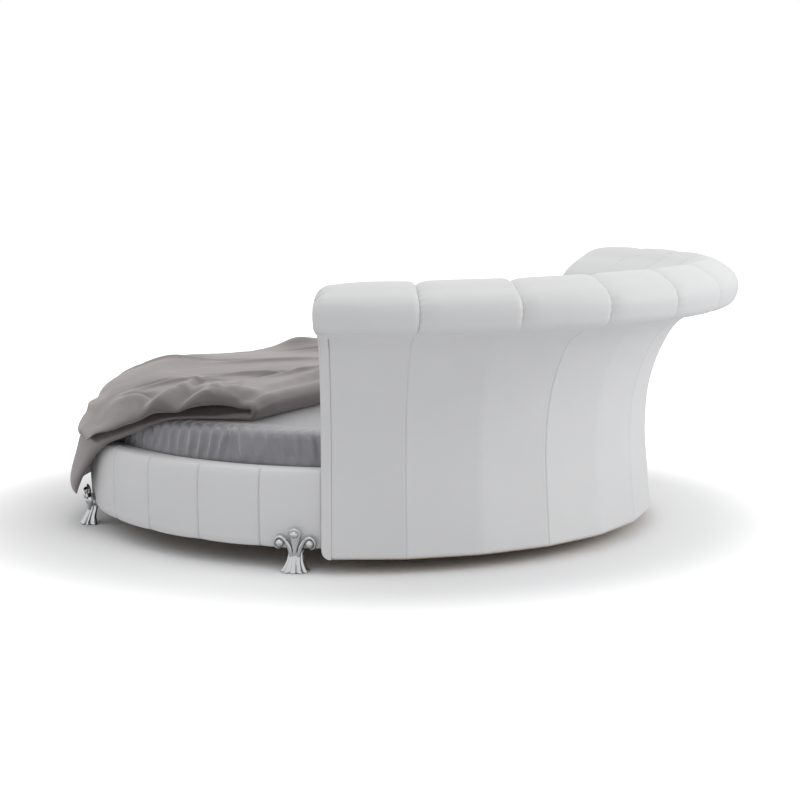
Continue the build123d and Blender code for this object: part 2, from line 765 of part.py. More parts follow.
def bed_outline(radius, base, top):
    """Half section of the mattress or its cover: flat base, drawn-in side, rounded rim, crown."""
    middle = (base + top) / 2
    rim = top - mattress_crown
    bend = mattress_shoulder * (1 - sqrt(0.5))
    low_round = mattress_shoulder / 2
    low_bend = low_round * (1 - sqrt(0.5))
    side = radius - mattress_side_draw
    start = (side - low_round, base)
    low_side = (side, base + low_round)
    high_side = (side, rim - mattress_shoulder)
    shoulder = (side - mattress_shoulder, rim)
    ThreePointArc(start, (side - low_bend, base + low_bend), low_side)
    ThreePointArc(low_side, (radius, middle), high_side)
    ThreePointArc(high_side, (side - bend, rim - bend), shoulder)
    flat = (radius / 3, top)
    ThreePointArc(shoulder, (radius * 2 / 3, top - mattress_crown / 3), flat)
    Line(flat, (0, top))
    return start


core_base = mattress_base + sheet_thickness + 2 * soft_gap
core_top = mattress_top - sheet_thickness - soft_gap
with BuildPart() as mattress_core:
    with BuildSketch(Plane.XZ):
        with BuildLine():
            start = bed_outline(core_radius, core_base, core_top)
            Polyline((0, core_top), (0, core_base), start)
        make_face()
    revolve(axis=Axis.Z)
save(mattress_core, "mattress_core")

with BuildPart() as fitted_sheet:
    with BuildSketch(Plane.XZ):
        with BuildLine():
            outer_start = bed_outline(sheet_radius, mattress_base + soft_gap, mattress_top)
            inner_start = bed_outline(core_radius + soft_gap, core_base - soft_gap, core_top + soft_gap)
            Line((0, mattress_top), (0, core_top + soft_gap))
            Polyline(outer_start, (tuck_inner, mattress_base + soft_gap),
                     (tuck_inner, core_base - soft_gap), inner_start)
        make_face()
    revolve(axis=Axis.Z)
save(fitted_sheet, "fitted_sheet")

# Duvet: two layers joined by a rolled fold near the middle, hanging over the foot end
duvet_base = mattress_top + duvet_clearance
upper_base = duvet_base + duvet_layer - duvet_overlap
fold_radius = duvet_layer - duvet_overlap / 2
fold_centre = duvet_fold_y - fold_radius
dome_edge = upper_base + duvet_layer
drape_inner = rail_outer + duvet_rail_gap
drape_middle = drape_inner + duvet_lower_thickness - duvet_overlap
drape_knee = duvet_base - duvet_shoulder_drop


def duvet_hem(angle, foot_height, side_height):
    """Height of a hem: level round the foot end, rising in a straight line to the sides."""
    away = abs(angle + head_angle)
    rise = max(0.0, (away - duvet_level_arc) / (duvet_drape_arc - duvet_level_arc))
    return foot_height + (side_height - foot_height) * rise


def drape_section(angle, inner, thickness, base, hem):
    """Radial section of one hanging layer: flat root, a bend over the rim, a hem below."""
    away = abs(angle + head_angle) / duvet_drape_arc
    ripple = duvet_ripple * (1 + sin(radians(angle * duvet_ripples))) / 2 * (1 - away ** 2)
    near = inner + ripple
    far = near + thickness
    top = base + thickness + duvet_shoulder_round
    root = base + duvet_root_rise
    knee = max(drape_knee, hem + thickness / 4)
    turn_height = (knee + base) / 2
    with BuildSketch(radial_plane(angle)) as section:
        with BuildLine():
            Line((duvet_root_radius, root), (duvet_shoulder_radius, root))
            ThreePointArc((duvet_shoulder_radius, root),
                          ((duvet_shoulder_radius + near * 2) / 3, turn_height + thickness / 2),
                          (near, knee))
            Line((near, knee), (near, hem))
            ThreePointArc((near, hem), ((near + far) / 2, hem - thickness / 3), (far, hem))
            Line((far, hem), (far, knee))
            ThreePointArc((far, knee),
                          ((duvet_shoulder_radius + far * 2) / 3, turn_height + thickness * 2),
                          (duvet_shoulder_radius, top))
            Line((duvet_shoulder_radius, top), (duvet_root_radius, top))
            Line((duvet_root_radius, top), (duvet_root_radius, root))
        make_face()
    return section.sketch


drape_angles = [-head_angle - duvet_drape_arc + step * 2 * duvet_drape_arc / duvet_drape_steps
                for step in range(duvet_drape_steps + 1)]
with BuildPart() as duvet:
    for reach, height, amount in ((duvet_reach, duvet_base, duvet_layer),
                                  (duvet_upper_reach, upper_base, duvet_layer + duvet_dome)):
        with BuildSketch(Plane.XY.offset(height)):
            Circle(reach)
            with Locations((0, fold_centre + reach)):
                Rectangle(2 * reach, 2 * reach, mode=Mode.SUBTRACT)
        extrude(amount=amount)
    with BuildSketch(Plane.YZ.offset(-duvet_fold_reach)):
        with Locations((fold_centre, duvet_base + fold_radius)):
            Circle(fold_radius)
    extrude(amount=2 * duvet_fold_reach)
    with BuildSketch(Plane(origin=(0, duvet_dome_y, 0), x_dir=(1, 0, 0), z_dir=(0, -1, 0))):
        with BuildLine():
            Polyline((0, dome_edge + duvet_dome), (0, 0), (duvet_dome_radius, 0),
                     (duvet_dome_radius, dome_edge))
            ThreePointArc((duvet_dome_radius, dome_edge),
                          (duvet_dome_radius / 2, dome_edge + duvet_dome * 3 / 4),
                          (0, dome_edge + duvet_dome))
        make_face()
    revolve(axis=Axis((0, duvet_dome_y, 0), (0, 0, 1)), mode=Mode.INTERSECT)
    loft(sections=[drape_section(angle, drape_inner, duvet_lower_thickness, duvet_base,
                                 duvet_hem(angle, duvet_hem_foot, duvet_hem_side))
                   for angle in drape_angles])
    loft(sections=[drape_section(angle, drape_middle, duvet_upper_thickness, upper_base,
                                 duvet_hem(angle, duvet_upper_hem_foot, duvet_upper_hem_side))
                   for angle in drape_angles])
save(duvet, "duvet")
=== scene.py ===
# %% [markdown]
# A round bed with a curved headboard that rolls over at the top. The timber, steel and slats come
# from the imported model. What a person sees is leather, cloth and chrome, so this file works those
# surfaces out one by one, each as a grid of points, and gives each the finish of the real thing.
# All sizes are in metres, +Z is up and +Y points to the middle of the headboard.

# %% Load the frame
import json
import bpy
import numpy as np
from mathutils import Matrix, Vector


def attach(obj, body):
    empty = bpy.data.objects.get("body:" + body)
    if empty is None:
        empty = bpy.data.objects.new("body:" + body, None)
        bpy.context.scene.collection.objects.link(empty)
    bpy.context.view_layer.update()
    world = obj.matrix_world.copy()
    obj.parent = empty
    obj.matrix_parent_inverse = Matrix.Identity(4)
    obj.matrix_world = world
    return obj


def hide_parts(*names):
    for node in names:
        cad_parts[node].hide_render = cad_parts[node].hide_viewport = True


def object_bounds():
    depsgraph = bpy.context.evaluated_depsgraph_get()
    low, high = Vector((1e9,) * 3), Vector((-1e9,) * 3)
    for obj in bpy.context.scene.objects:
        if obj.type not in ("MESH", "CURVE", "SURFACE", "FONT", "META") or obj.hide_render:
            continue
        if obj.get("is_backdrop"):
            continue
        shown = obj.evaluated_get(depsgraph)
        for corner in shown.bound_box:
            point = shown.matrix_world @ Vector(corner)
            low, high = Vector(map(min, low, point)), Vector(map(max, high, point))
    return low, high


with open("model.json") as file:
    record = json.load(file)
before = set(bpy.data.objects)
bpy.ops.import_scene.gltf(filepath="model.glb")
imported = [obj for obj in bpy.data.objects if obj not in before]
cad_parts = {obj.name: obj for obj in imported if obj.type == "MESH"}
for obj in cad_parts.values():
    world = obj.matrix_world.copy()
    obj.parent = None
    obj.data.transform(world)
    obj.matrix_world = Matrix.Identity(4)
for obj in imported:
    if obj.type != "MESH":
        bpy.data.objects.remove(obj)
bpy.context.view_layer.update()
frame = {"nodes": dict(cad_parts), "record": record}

# %% [markdown]
# The camera stands 7.6 m away behind one end of the headboard, 1.55 m above the floor, and looks a
# little down. These values come from the circles of the base and the rim, which the photograph shows
# as ellipses. A long lens keeps the bed's proportions calm.

# %% Camera
CAMERA_PLACE = (6.7289, 3.5897, 1.5520)
CAMERA_TILT = np.radians(90 - 8.0035)
CAMERA_TURN = np.radians(116.98)
camera_data = bpy.data.cameras.new("camera")
camera_data.lens = 80.19
camera_data.sensor_width = 36.0
camera = bpy.data.objects.new("camera", camera_data)
bpy.context.scene.collection.objects.link(camera)
camera.location = CAMERA_PLACE
camera.rotation_euler = (CAMERA_TILT, 0, CAMERA_TURN)
bpy.context.scene.camera = camera
bpy.context.scene.view_settings.view_transform = "Standard"
print("camera at", CAMERA_PLACE)

# %% [markdown]
# Every new piece starts as a grid: one parameter runs along the piece, the other across it. Whole
# arrays are worked out at once and handed to the mesh, with a UV map in metres, so that a weave
# keeps its scale wherever the surface bends.

# %% Lines
def polar(angle, radius, height):
    """Points on the round: x = radius cos angle, y = radius sin angle, with the angle in degrees."""
    turn = np.radians(angle)
    return np.stack(np.broadcast_arrays(radius * np.cos(turn), radius * np.sin(turn), height), axis=-1)


def smooth_line(points, count):
    """Even points on a curve through the given ones.

    Each span is a cubic Hermite: it blends its two ends and the slopes there by t cubed and t squared.
    """
    knots = np.asarray(points, float)
    steps = np.linalg.norm(np.diff(knots, axis=0), axis=1)
    places = np.concatenate(([0.0], np.cumsum(steps)))
    slopes = np.gradient(knots, places, axis=0)
    fine = np.linspace(0, places[-1], count * 8)
    span = np.clip(np.searchsorted(places, fine, side="right") - 1, 0, len(steps) - 1)
    width = (places[span + 1] - places[span])[:, None]
    t = ((fine - places[span])[:, None]) / width
    curve = ((2 * t**3 - 3 * t**2 + 1) * knots[span] + (t**3 - 2 * t**2 + t) * width * slopes[span]
             + (3 * t**2 - 2 * t**3) * knots[span + 1] + (t**3 - t**2) * width * slopes[span + 1])
    run = np.concatenate(([0.0], np.cumsum(np.linalg.norm(np.diff(curve, axis=0), axis=1))))
    even = np.linspace(0, run[-1], count)
    return np.stack([np.interp(even, run, curve[:, axis]) for axis in range(curve.shape[1])], axis=-1)


def line_normals(line, closed):
    """Outward normals of a flat line of (radius, height) points that runs anticlockwise."""
    if closed:
        step = np.roll(line, -1, axis=0) - np.roll(line, 1, axis=0)
    else:
        step = np.gradient(line, axis=0)
    step /= np.linalg.norm(step, axis=1, keepdims=True)
    return np.stack([step[:, 1], -step[:, 0]], axis=-1)


print("a line of 5 points:", smooth_line([(0, 0), (1, 0), (1, 1)], 5).round(2).tolist())

# %% [markdown]
# A grid of points becomes a mesh in one go. Four neighbours make a face, a wrapped direction closes
# on itself like a tube, and caps close the ends. Points that run anticlockwise give faces that look
# outwards; where a grid runs the other way, its faces are flipped.

# %% Grid to mesh
def grid_faces(rows, columns, wrap_rows, wrap_columns):
    """Four-cornered faces of a grid; a wrapped direction joins its last line to its first."""
    row = np.arange(rows if wrap_rows else rows - 1)[:, None]
    column = np.arange(columns if wrap_columns else columns - 1)[None, :]
    next_row = (row + 1) % rows
    next_column = (column + 1) % columns
    corners = [row * columns + column, next_row * columns + column,
               next_row * columns + next_column, row * columns + next_column]
    return np.stack(np.broadcast_arrays(*corners), axis=-1).reshape(-1, 4)


def mesh_piece(name, vertices, faces, uv=None):
    """Mesh object from points and faces, with a UV map where one place per point is given."""
    mesh = bpy.data.meshes.new(name)
    mesh.from_pydata(np.asarray(vertices, float).tolist(), [], [list(face) for face in faces])
    if uv is not None:
        loops = np.empty(len(mesh.loops), dtype=np.int32)
        mesh.loops.foreach_get("vertex_index", loops)
        mesh.uv_layers.new(name="UVMap").data.foreach_set("uv", uv[loops].astype(np.float32).ravel())
    mesh.polygons.foreach_set("use_smooth", np.ones(len(mesh.polygons), dtype=bool))
    mesh.set_sharp_from_angle(angle=np.radians(60))
    mesh.update()
    piece = bpy.data.objects.new(name, mesh)
    bpy.context.scene.collection.objects.link(piece)
    return piece


def grid_piece(name, points, wrap_rows=False, wrap_columns=False, caps=False, flip=False):
    """Surface through a grid of points; caps close the two end lines of a wrapped tube."""
    rows, columns = points.shape[:2]
    faces = grid_faces(rows, columns, wrap_rows, wrap_columns).tolist()
    if caps:
        faces += [list(range(columns)), list(range((rows - 1) * columns, rows * columns))[::-1]]
    if flip:
        faces = [face[::-1] for face in faces]
    along = np.linalg.norm(np.diff(points, axis=0), axis=2).mean(axis=1)
    across = np.linalg.norm(np.diff(points, axis=1), axis=2).mean(axis=0)
    u, v = (np.concatenate(([0.0], np.cumsum(step))) for step in (along, across))
    uv = np.stack(np.meshgrid(u, v, indexing="ij"), axis=-1).reshape(-1, 2)
    return mesh_piece(name, points.reshape(-1, 3), faces, uv)


print("a grid of 3 x 4 points has", len(grid_faces(3, 4, False, False)), "faces")

# %% [markdown]
# The room is a white studio. A pale floor and a pale world give even light from all round. A large
# soft panel above makes the tops brighter than the sides, and a second one beyond the headboard
# lights the roll and the back from the other side. White behind the bed comes from the colour of
# floor and world, so the lamps can stay low. The floor keeps the bed's shadow near the bed and
# glows to plain white further out.

# %% Node helper
def add_node(tree, kind, settings=None, inputs=None):
    """Node with its settings and inputs; an input that is a socket is linked, any other is set."""
    node = tree.nodes.new(kind)
    for key, value in (settings or {}).items():
        setattr(node, key, value)
    for key, value in (inputs or {}).items():
        if isinstance(value, bpy.types.NodeSocket):
            tree.links.new(value, node.inputs[key])
        else:
            node.inputs[key].default_value = value
    return node


print("node helper ready")

# %% World
WHITE = (1.0, 1.0, 1.0, 1.0)
AMBIENT_COLOUR, AMBIENT_LEVEL = (0.985, 0.99, 1.0, 1.0), 0.64
world = bpy.data.worlds.new("studio")
bpy.context.scene.world = world
world.use_nodes = True
world.node_tree.nodes.clear()
light_path = add_node(world.node_tree, "ShaderNodeLightPath")
ambient = add_node(world.node_tree, "ShaderNodeBackground",
                   inputs={"Color": AMBIENT_COLOUR, "Strength": AMBIENT_LEVEL})
backdrop = add_node(world.node_tree, "ShaderNodeBackground", inputs={"Color": WHITE, "Strength": 1.0})
seen_glossy = add_node(world.node_tree, "ShaderNodeMath", {"operation": "MAXIMUM"}, {
    0: light_path.outputs["Is Camera Ray"], 1: light_path.outputs["Is Glossy Ray"]})
seen_white = add_node(world.node_tree, "ShaderNodeMath", {"operation": "MAXIMUM"}, {
    0: seen_glossy.outputs[0], 1: light_path.outputs["Is Transmission Ray"]})
choice = add_node(world.node_tree, "ShaderNodeMixShader",
                  inputs={0: seen_white.outputs[0], 1: ambient.outputs[0], 2: backdrop.outputs[0]})
add_node(world.node_tree, "ShaderNodeOutputWorld", inputs={"Surface": choice.outputs[0]})
print("world light", AMBIENT_LEVEL)

# %% Floor
FLOOR_LIT, FLOOR_SEEN = (0.80, 0.80, 0.81, 1), (1.06, 1.06, 1.06, 1)
GLOW_START, GLOW_FULL, GLOW_LEVEL = 1.40, 2.4, 0.8
FLOOR_HALF = 30
floor_mesh = bpy.data.meshes.new("studio_floor")
floor_corners = [(x * FLOOR_HALF, y * FLOOR_HALF, 0) for x, y in ((-1, -1), (1, -1), (1, 1), (-1, 1))]
floor_mesh.from_pydata(floor_corners, [], [(0, 1, 2, 3)])
floor = bpy.data.objects.new("studio_floor", floor_mesh)
bpy.context.scene.collection.objects.link(floor)
floor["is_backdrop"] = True
floor_finish = bpy.data.materials.new("studio_floor")
floor_finish.use_nodes = True
floor_tree = floor_finish.node_tree
floor_tree.nodes.clear()
floor_path = add_node(floor_tree, "ShaderNodeLightPath")
floor_place = add_node(floor_tree, "ShaderNodeTexCoord")
floor_reach = add_node(floor_tree, "ShaderNodeVectorMath", {"operation": "LENGTH"},
                       {0: floor_place.outputs["Object"]})
floor_far = add_node(floor_tree, "ShaderNodeMapRange", {"interpolation_type": "SMOOTHSTEP"}, {
    "Value": floor_reach.outputs["Value"], "From Min": GLOW_START, "From Max": GLOW_FULL,
    "To Min": 0.0, "To Max": GLOW_LEVEL})
floor_glow = add_node(floor_tree, "ShaderNodeMath", {"operation": "MULTIPLY"},
                      {0: floor_path.outputs["Is Camera Ray"], 1: floor_far.outputs[0]})
floor_colour = add_node(floor_tree, "ShaderNodeMix", {"data_type": "RGBA"}, {
    0: floor_path.outputs["Is Camera Ray"], 6: FLOOR_LIT, 7: FLOOR_SEEN})
floor_paint = add_node(floor_tree, "ShaderNodeBsdfDiffuse", inputs={"Color": floor_colour.outputs[2]})
floor_light = add_node(floor_tree, "ShaderNodeEmission",
                       inputs={"Color": WHITE, "Strength": floor_glow.outputs[0]})
floor_sum = add_node(floor_tree, "ShaderNodeAddShader",
                     inputs={0: floor_paint.outputs[0], 1: floor_light.outputs[0]})
add_node(floor_tree, "ShaderNodeOutputMaterial", inputs={"Surface": floor_sum.outputs[0]})
floor_mesh.materials.append(floor_finish)
print("floor", 2 * FLOOR_HALF, "m wide")

# %% Lamps
def soft_panel(name, place, target, size, power):
    """Square area lamp that stands at one place and faces another."""
    lamp = bpy.data.lights.new(name, "AREA")
    lamp.size = size
    lamp.energy = power
    holder = bpy.data.objects.new(name, lamp)
    bpy.context.scene.collection.objects.link(holder)
    aim = np.subtract(target, place)
    turn = np.arctan2(aim[1], aim[0]) - np.pi / 2
    lean = np.arctan2(np.hypot(aim[0], aim[1]), -aim[2])
    holder.location = place
    holder.rotation_euler = (lean, 0, turn)
    return holder


soft_panel("high_panel", (0.3, 0.1, 4.8), (0.0, 0.2, 0.5), 4.0, 44)
soft_panel("head_panel", (-2.2, 6.4, 3.0), (0.2, 1.0, 0.6), 3.4, 104)
print("two soft panels")

# %% [markdown]
# Finishes come next. Several materials share the same effects, so each effect is a node group with
# named inputs: the fine pebble of leather, the threads of woven cloth, the grain of wood and the
# slow drift of tone that every real surface has. The shader itself stays in the material.

# %% Effect groups
def effect_group(name, inputs, outputs):
    """Empty node group with named number or colour sockets; gives the group and its two end nodes."""
    group = bpy.data.node_groups.new(name, "ShaderNodeTree")
    for label, kind, value in inputs:
        group.interface.new_socket(label, in_out="INPUT", socket_type=kind).default_value = value
    for label, kind in outputs:
        group.interface.new_socket(label, in_out="OUTPUT", socket_type=kind)
    return group, group.nodes.new("NodeGroupInput"), group.nodes.new("NodeGroupOutput")


FLOAT, COLOUR = "NodeSocketFloat", "NodeSocketColor"
print("effects take", FLOAT, "and", COLOUR)

# %% Tone
# A colour that drifts between a darker and a lighter version of itself over the surface
tone_group, tone_in, tone_out = effect_group(
    "tone_drift", [("Colour", COLOUR, WHITE), ("Scale", FLOAT, 4.0), ("Amount", FLOAT, 0.08)],
    [("Colour", COLOUR), ("Mask", FLOAT)])
tone_place = add_node(tone_group, "ShaderNodeTexCoord")
tone_noise = add_node(tone_group, "ShaderNodeTexNoise", inputs={
    "Vector": tone_place.outputs["Object"], "Scale": tone_in.outputs["Scale"], "Detail": 6.0,
    "Roughness": 0.6})
tone_span = add_node(tone_group, "ShaderNodeMapRange", inputs={
    "Value": tone_noise.outputs["Fac"], "From Min": 0.3, "From Max": 0.7, "To Min": -0.5, "To Max": 0.5})
tone_step = add_node(tone_group, "ShaderNodeMath", {"operation": "MULTIPLY_ADD"},
                     {0: tone_span.outputs[0], 1: tone_in.outputs["Amount"], 2: 1.0})
tone_mix = add_node(tone_group, "ShaderNodeVectorMath", {"operation": "SCALE"},
                    {0: tone_in.outputs["Colour"], "Scale": tone_step.outputs[0]})
tone_group.links.new(tone_mix.outputs[0], tone_out.inputs["Colour"])
tone_group.links.new(tone_noise.outputs["Fac"], tone_out.inputs["Mask"])
print(tone_group.name, len(tone_group.nodes), "nodes")

# %% Leather pebble
# Rounded pebbles between fine creases, broken up by a finer noise
hide_group, hide_in, hide_out = effect_group(
    "leather_pebble", [("Scale", FLOAT, 700.0), ("Softness", FLOAT, 0.5)],
    [("Height", FLOAT), ("Crease", FLOAT)])
hide_place = add_node(hide_group, "ShaderNodeTexCoord")
hide_cells = add_node(hide_group, "ShaderNodeTexVoronoi", {"feature": "DISTANCE_TO_EDGE"}, {
    "Vector": hide_place.outputs["Object"], "Scale": hide_in.outputs["Scale"]})
hide_round = add_node(hide_group, "ShaderNodeMapRange", {"interpolation_type": "SMOOTHSTEP"}, {
    "Value": hide_cells.outputs["Distance"], "From Max": 0.22})
hide_noise = add_node(hide_group, "ShaderNodeTexNoise", inputs={
    "Vector": hide_place.outputs["Object"], "Scale": hide_in.outputs["Scale"], "Detail": 3.0})
hide_mix = add_node(hide_group, "ShaderNodeMix", {"data_type": "FLOAT"}, {
    0: hide_in.outputs["Softness"], 2: hide_round.outputs[0], 3: hide_noise.outputs["Fac"]})
hide_group.links.new(hide_mix.outputs[0], hide_out.inputs["Height"])
hide_group.links.new(hide_round.outputs[0], hide_out.inputs["Crease"])
print(hide_group.name, len(hide_group.nodes), "nodes")

# %% Cloth weave
# Crossed threads, from two waves that run along the two directions of the cloth's own map
weave_group, weave_in, weave_out = effect_group(
    "cloth_weave", [("Threads", FLOAT, 900.0), ("Slub", FLOAT, 0.2)], [("Height", FLOAT), ("Slub", FLOAT)])
weave_place = add_node(weave_group, "ShaderNodeTexCoord")
weave_axes = add_node(weave_group, "ShaderNodeSeparateXYZ", inputs={0: weave_place.outputs["UV"]})
weave_waves = []
for weave_axis in ("X", "Y"):
    weave_turn = add_node(weave_group, "ShaderNodeMath", {"operation": "MULTIPLY"},
                          {0: weave_axes.outputs[weave_axis], 1: weave_in.outputs["Threads"]})
    weave_waves.append(add_node(weave_group, "ShaderNodeMath", {"operation": "SINE"},
                                {0: weave_turn.outputs[0]}))
weave_cross = add_node(weave_group, "ShaderNodeMath", {"operation": "MULTIPLY"},
                       {0: weave_waves[0].outputs[0], 1: weave_waves[1].outputs[0]})
weave_stretch = add_node(weave_group, "ShaderNodeMapping", inputs={
    "Vector": weave_place.outputs["UV"], "Scale": (14.0, 420.0, 1.0)})
weave_noise = add_node(weave_group, "ShaderNodeTexNoise", inputs={
    "Vector": weave_stretch.outputs[0], "Scale": 1.0, "Detail": 3.0})
weave_sum = add_node(weave_group, "ShaderNodeMix", {"data_type": "FLOAT"}, {
    0: weave_in.outputs["Slub"], 2: weave_cross.outputs[0], 3: weave_noise.outputs["Fac"]})
weave_group.links.new(weave_sum.outputs[0], weave_out.inputs["Height"])
weave_group.links.new(weave_noise.outputs["Fac"], weave_out.inputs["Slub"])
print(weave_group.name, len(weave_group.nodes), "nodes")

# %% Wood streaks
# Long streaks from a noise that is stretched along one direction
wood_group, wood_in, wood_out = effect_group(
    "wood_streak", [("Pale", COLOUR, WHITE), ("Dark", COLOUR, WHITE), ("Scale", FLOAT, 1.0)],
    [("Colour", COLOUR), ("Height", FLOAT)])
wood_place = add_node(wood_group, "ShaderNodeTexCoord")
wood_stretch = add_node(wood_group, "ShaderNodeMapping", inputs={
    "Vector": wood_place.outputs["Object"], "Scale": (3.0, 70.0, 70.0)})
wood_noise = add_node(wood_group, "ShaderNodeTexNoise", inputs={
    "Vector": wood_stretch.outputs[0], "Scale": wood_in.outputs["Scale"], "Detail": 7.0,
    "Distortion": 0.6})
wood_ramp = add_node(wood_group, "ShaderNodeMapRange", inputs={
    "Value": wood_noise.outputs["Fac"], "From Min": 0.35, "From Max": 0.65})
wood_mix = add_node(wood_group, "ShaderNodeMix", {"data_type": "RGBA"}, {
    0: wood_ramp.outputs[0], 6: wood_in.outputs["Dark"], 7: wood_in.outputs["Pale"]})
wood_group.links.new(wood_mix.outputs[2], wood_out.inputs["Colour"])
wood_group.links.new(wood_noise.outputs["Fac"], wood_out.inputs["Height"])
print("effects:", [group.name for group in bpy.data.node_groups])

# %% [markdown]
# A finish is a colour that drifts a little, a roughness that follows the same drift, and a fine
# bump. One helper makes the first two, so that a finish differs only in its numbers and its bump.

# %% Finish helpers
ROUGH_SPREAD = 0.12


def finish(name, colour, roughness, tone=(4.0, 0.08), metal=0.0, specular=0.5, sheen=0.0):
    """Material whose colour drifts in tone and whose roughness follows the same drift.

    Gives the material, its tree and its Principled shader, so that a caller can add a bump.
    """
    material = bpy.data.materials.new(name)
    material.use_nodes = True
    tree = material.node_tree
    shader = tree.nodes["Principled BSDF"]
    tones = add_node(tree, "ShaderNodeGroup", {"node_tree": tone_group},
                     {"Colour": (*colour, 1.0), "Scale": tone[0], "Amount": tone[1]})
    rough = add_node(tree, "ShaderNodeMapRange", inputs={
        "Value": tones.outputs["Mask"], "From Min": 0.3, "From Max": 0.7,
        "To Min": roughness * (1 - ROUGH_SPREAD), "To Max": min(roughness * (1 + ROUGH_SPREAD), 1.0)})
    tree.links.new(tones.outputs["Colour"], shader.inputs["Base Color"])
    tree.links.new(rough.outputs[0], shader.inputs["Roughness"])
    shader.inputs["Metallic"].default_value = metal
    shader.inputs["Specular IOR Level"].default_value = specular
    shader.inputs["Sheen Weight"].default_value = sheen
    return material, tree, shader


def add_bump(tree, shader, height, distance, strength=1.0):
    """Bump on the shader from a height socket, with its depth in metres."""
    bump = add_node(tree, "ShaderNodeBump", inputs={
        "Height": height, "Distance": distance, "Strength": strength})
    tree.links.new(bump.outputs[0], shader.inputs["Normal"])


print("finish helpers ready, roughness spread", ROUGH_SPREAD)

# %% Leather and cloth
leather, leather_tree, leather_shader = finish("white_leather", (0.80, 0.80, 0.80), 0.46, (3.0, 0.030),
                                               specular=0.42)
pebble = add_node(leather_tree, "ShaderNodeGroup", {"node_tree": hide_group},
                  {"Scale": 620.0, "Softness": 0.45})
add_bump(leather_tree, leather_shader, pebble.outputs["Height"], 0.00016, 0.7)


def woven_finish(name, colour, roughness, tone, threads, slub, depth, sheen_tint=WHITE, **extra):
    """Cloth: the crossed threads of the shared weave as a bump, with its count and depth."""
    material, tree, shader = finish(name, colour, roughness, tone, **extra)
    shader.inputs["Sheen Tint"].default_value = sheen_tint
    weave = add_node(tree, "ShaderNodeGroup", {"node_tree": weave_group},
                     {"Threads": threads, "Slub": slub})
    add_bump(tree, shader, weave.outputs["Height"], depth, 0.5)
    return material


sheet_cloth = woven_finish("grey_satin", (0.215, 0.210, 0.230), 0.34, (2.4, 0.14), 5200.0, 0.35, 0.00012,
                           specular=1.0, sheen=1.0)
duvet_cloth = woven_finish("taupe_satin", (0.088, 0.069, 0.069), 0.36, (1.8, 0.12), 5200.0, 0.4, 0.00012,
                           (1.0, 0.89, 0.88, 1.0), specular=0.8, sheen=0.48)
foam = woven_finish("mattress_ticking", (0.72, 0.71, 0.68), 0.8, (5.0, 0.06), 1600.0, 0.3, 0.0003)
print("soft finishes:", leather.name, sheet_cloth.name, duvet_cloth.name, foam.name)

# %% Timber
def wood_finish(name, pale, dark, scale):
    """Sanded timber: streaks of two tones with a shallow grain."""
    material, tree, shader = finish(name, pale, 0.55)
    streak = add_node(tree, "ShaderNodeGroup", {"node_tree": wood_group},
                      {"Pale": (*pale, 1.0), "Dark": (*dark, 1.0), "Scale": scale})
    tree.links.new(streak.outputs["Colour"], shader.inputs["Base Color"])
    add_bump(tree, shader, streak.outputs["Height"], 0.0004, 0.4)
    return material


plywood = wood_finish("birch_plywood", (0.66, 0.51, 0.34), (0.50, 0.36, 0.21), 1.0)
slat_beech = wood_finish("beech_slat", (0.60, 0.42, 0.27), (0.47, 0.30, 0.17), 1.4)
print("timber:", plywood.name, slat_beech.name)

# %% Metal, plastic and felt
def grained_finish(name, colour, roughness, grain, depth, **extra):
    """Metal, plastic or felt: a fine noise gives cast skin, moulded texture or short fibres."""
    material, tree, shader = finish(name, colour, roughness, (9.0, 0.10), **extra)
    place = add_node(tree, "ShaderNodeTexCoord")
    noise = add_node(tree, "ShaderNodeTexNoise", inputs={
        "Vector": place.outputs["Object"], "Scale": grain, "Detail": 5.0, "Roughness": 0.6})
    add_bump(tree, shader, noise.outputs["Fac"], depth, 0.6)
    return material


chrome = grained_finish("cast_chrome", (0.56, 0.565, 0.57), 0.07, 60.0, 0.0005, metal=1.0)
bracket_steel = grained_finish("zinc_steel", (0.56, 0.57, 0.58), 0.38, 260.0, 0.0003, metal=1.0)
bolt_steel = grained_finish("bolt_steel", (0.44, 0.44, 0.45), 0.34, 320.0, 0.0002, metal=1.0)
leg_paint = grained_finish("black_leg_paint", (0.022, 0.022, 0.024), 0.5, 500.0, 0.0003)
glide_plastic = grained_finish("black_plastic", (0.03, 0.03, 0.032), 0.55, 700.0, 0.0002)
tray_plastic = grained_finish("grey_plastic", (0.20, 0.20, 0.21), 0.5, 700.0, 0.0002)
felt = grained_finish("grey_felt", (0.12, 0.12, 0.125), 0.95, 1400.0, 0.0012, sheen=0.3)
print("finishes:", len(bpy.data.materials))

# %% [markdown]
# The bed's timber, slats and steel are right as the model has them. They only need a finish, so
# each node that stays gets the material of its slot.

# %% Finishes on the model's own parts
SLOT_FINISH = {"timber": plywood, "slat_wood": slat_beech, "bracket_steel": bracket_steel,
               "bolt_steel": bolt_steel, "leg_paint": leg_paint, "glide_plastic": glide_plastic,
               "tray_plastic": tray_plastic, "felt": felt, "leather": leather, "chrome": chrome,
               "mattress_foam": foam, "sheet_cotton": sheet_cloth, "duvet_cotton": duvet_cloth}
for subpart in frame["record"]["subparts"]:
    node_mesh = frame["nodes"][subpart["node"]].data
    node_mesh.materials.clear()
    node_mesh.materials.append(SLOT_FINISH[subpart["material_slot"]])


def dress(piece, material, slot, body, *nodes):
    """Give a new piece its finish and its body, and hide the model's nodes that it stands for."""
    piece.data.materials.append(material)
    if nodes:
        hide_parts(*nodes)
    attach(piece, body)
    return piece


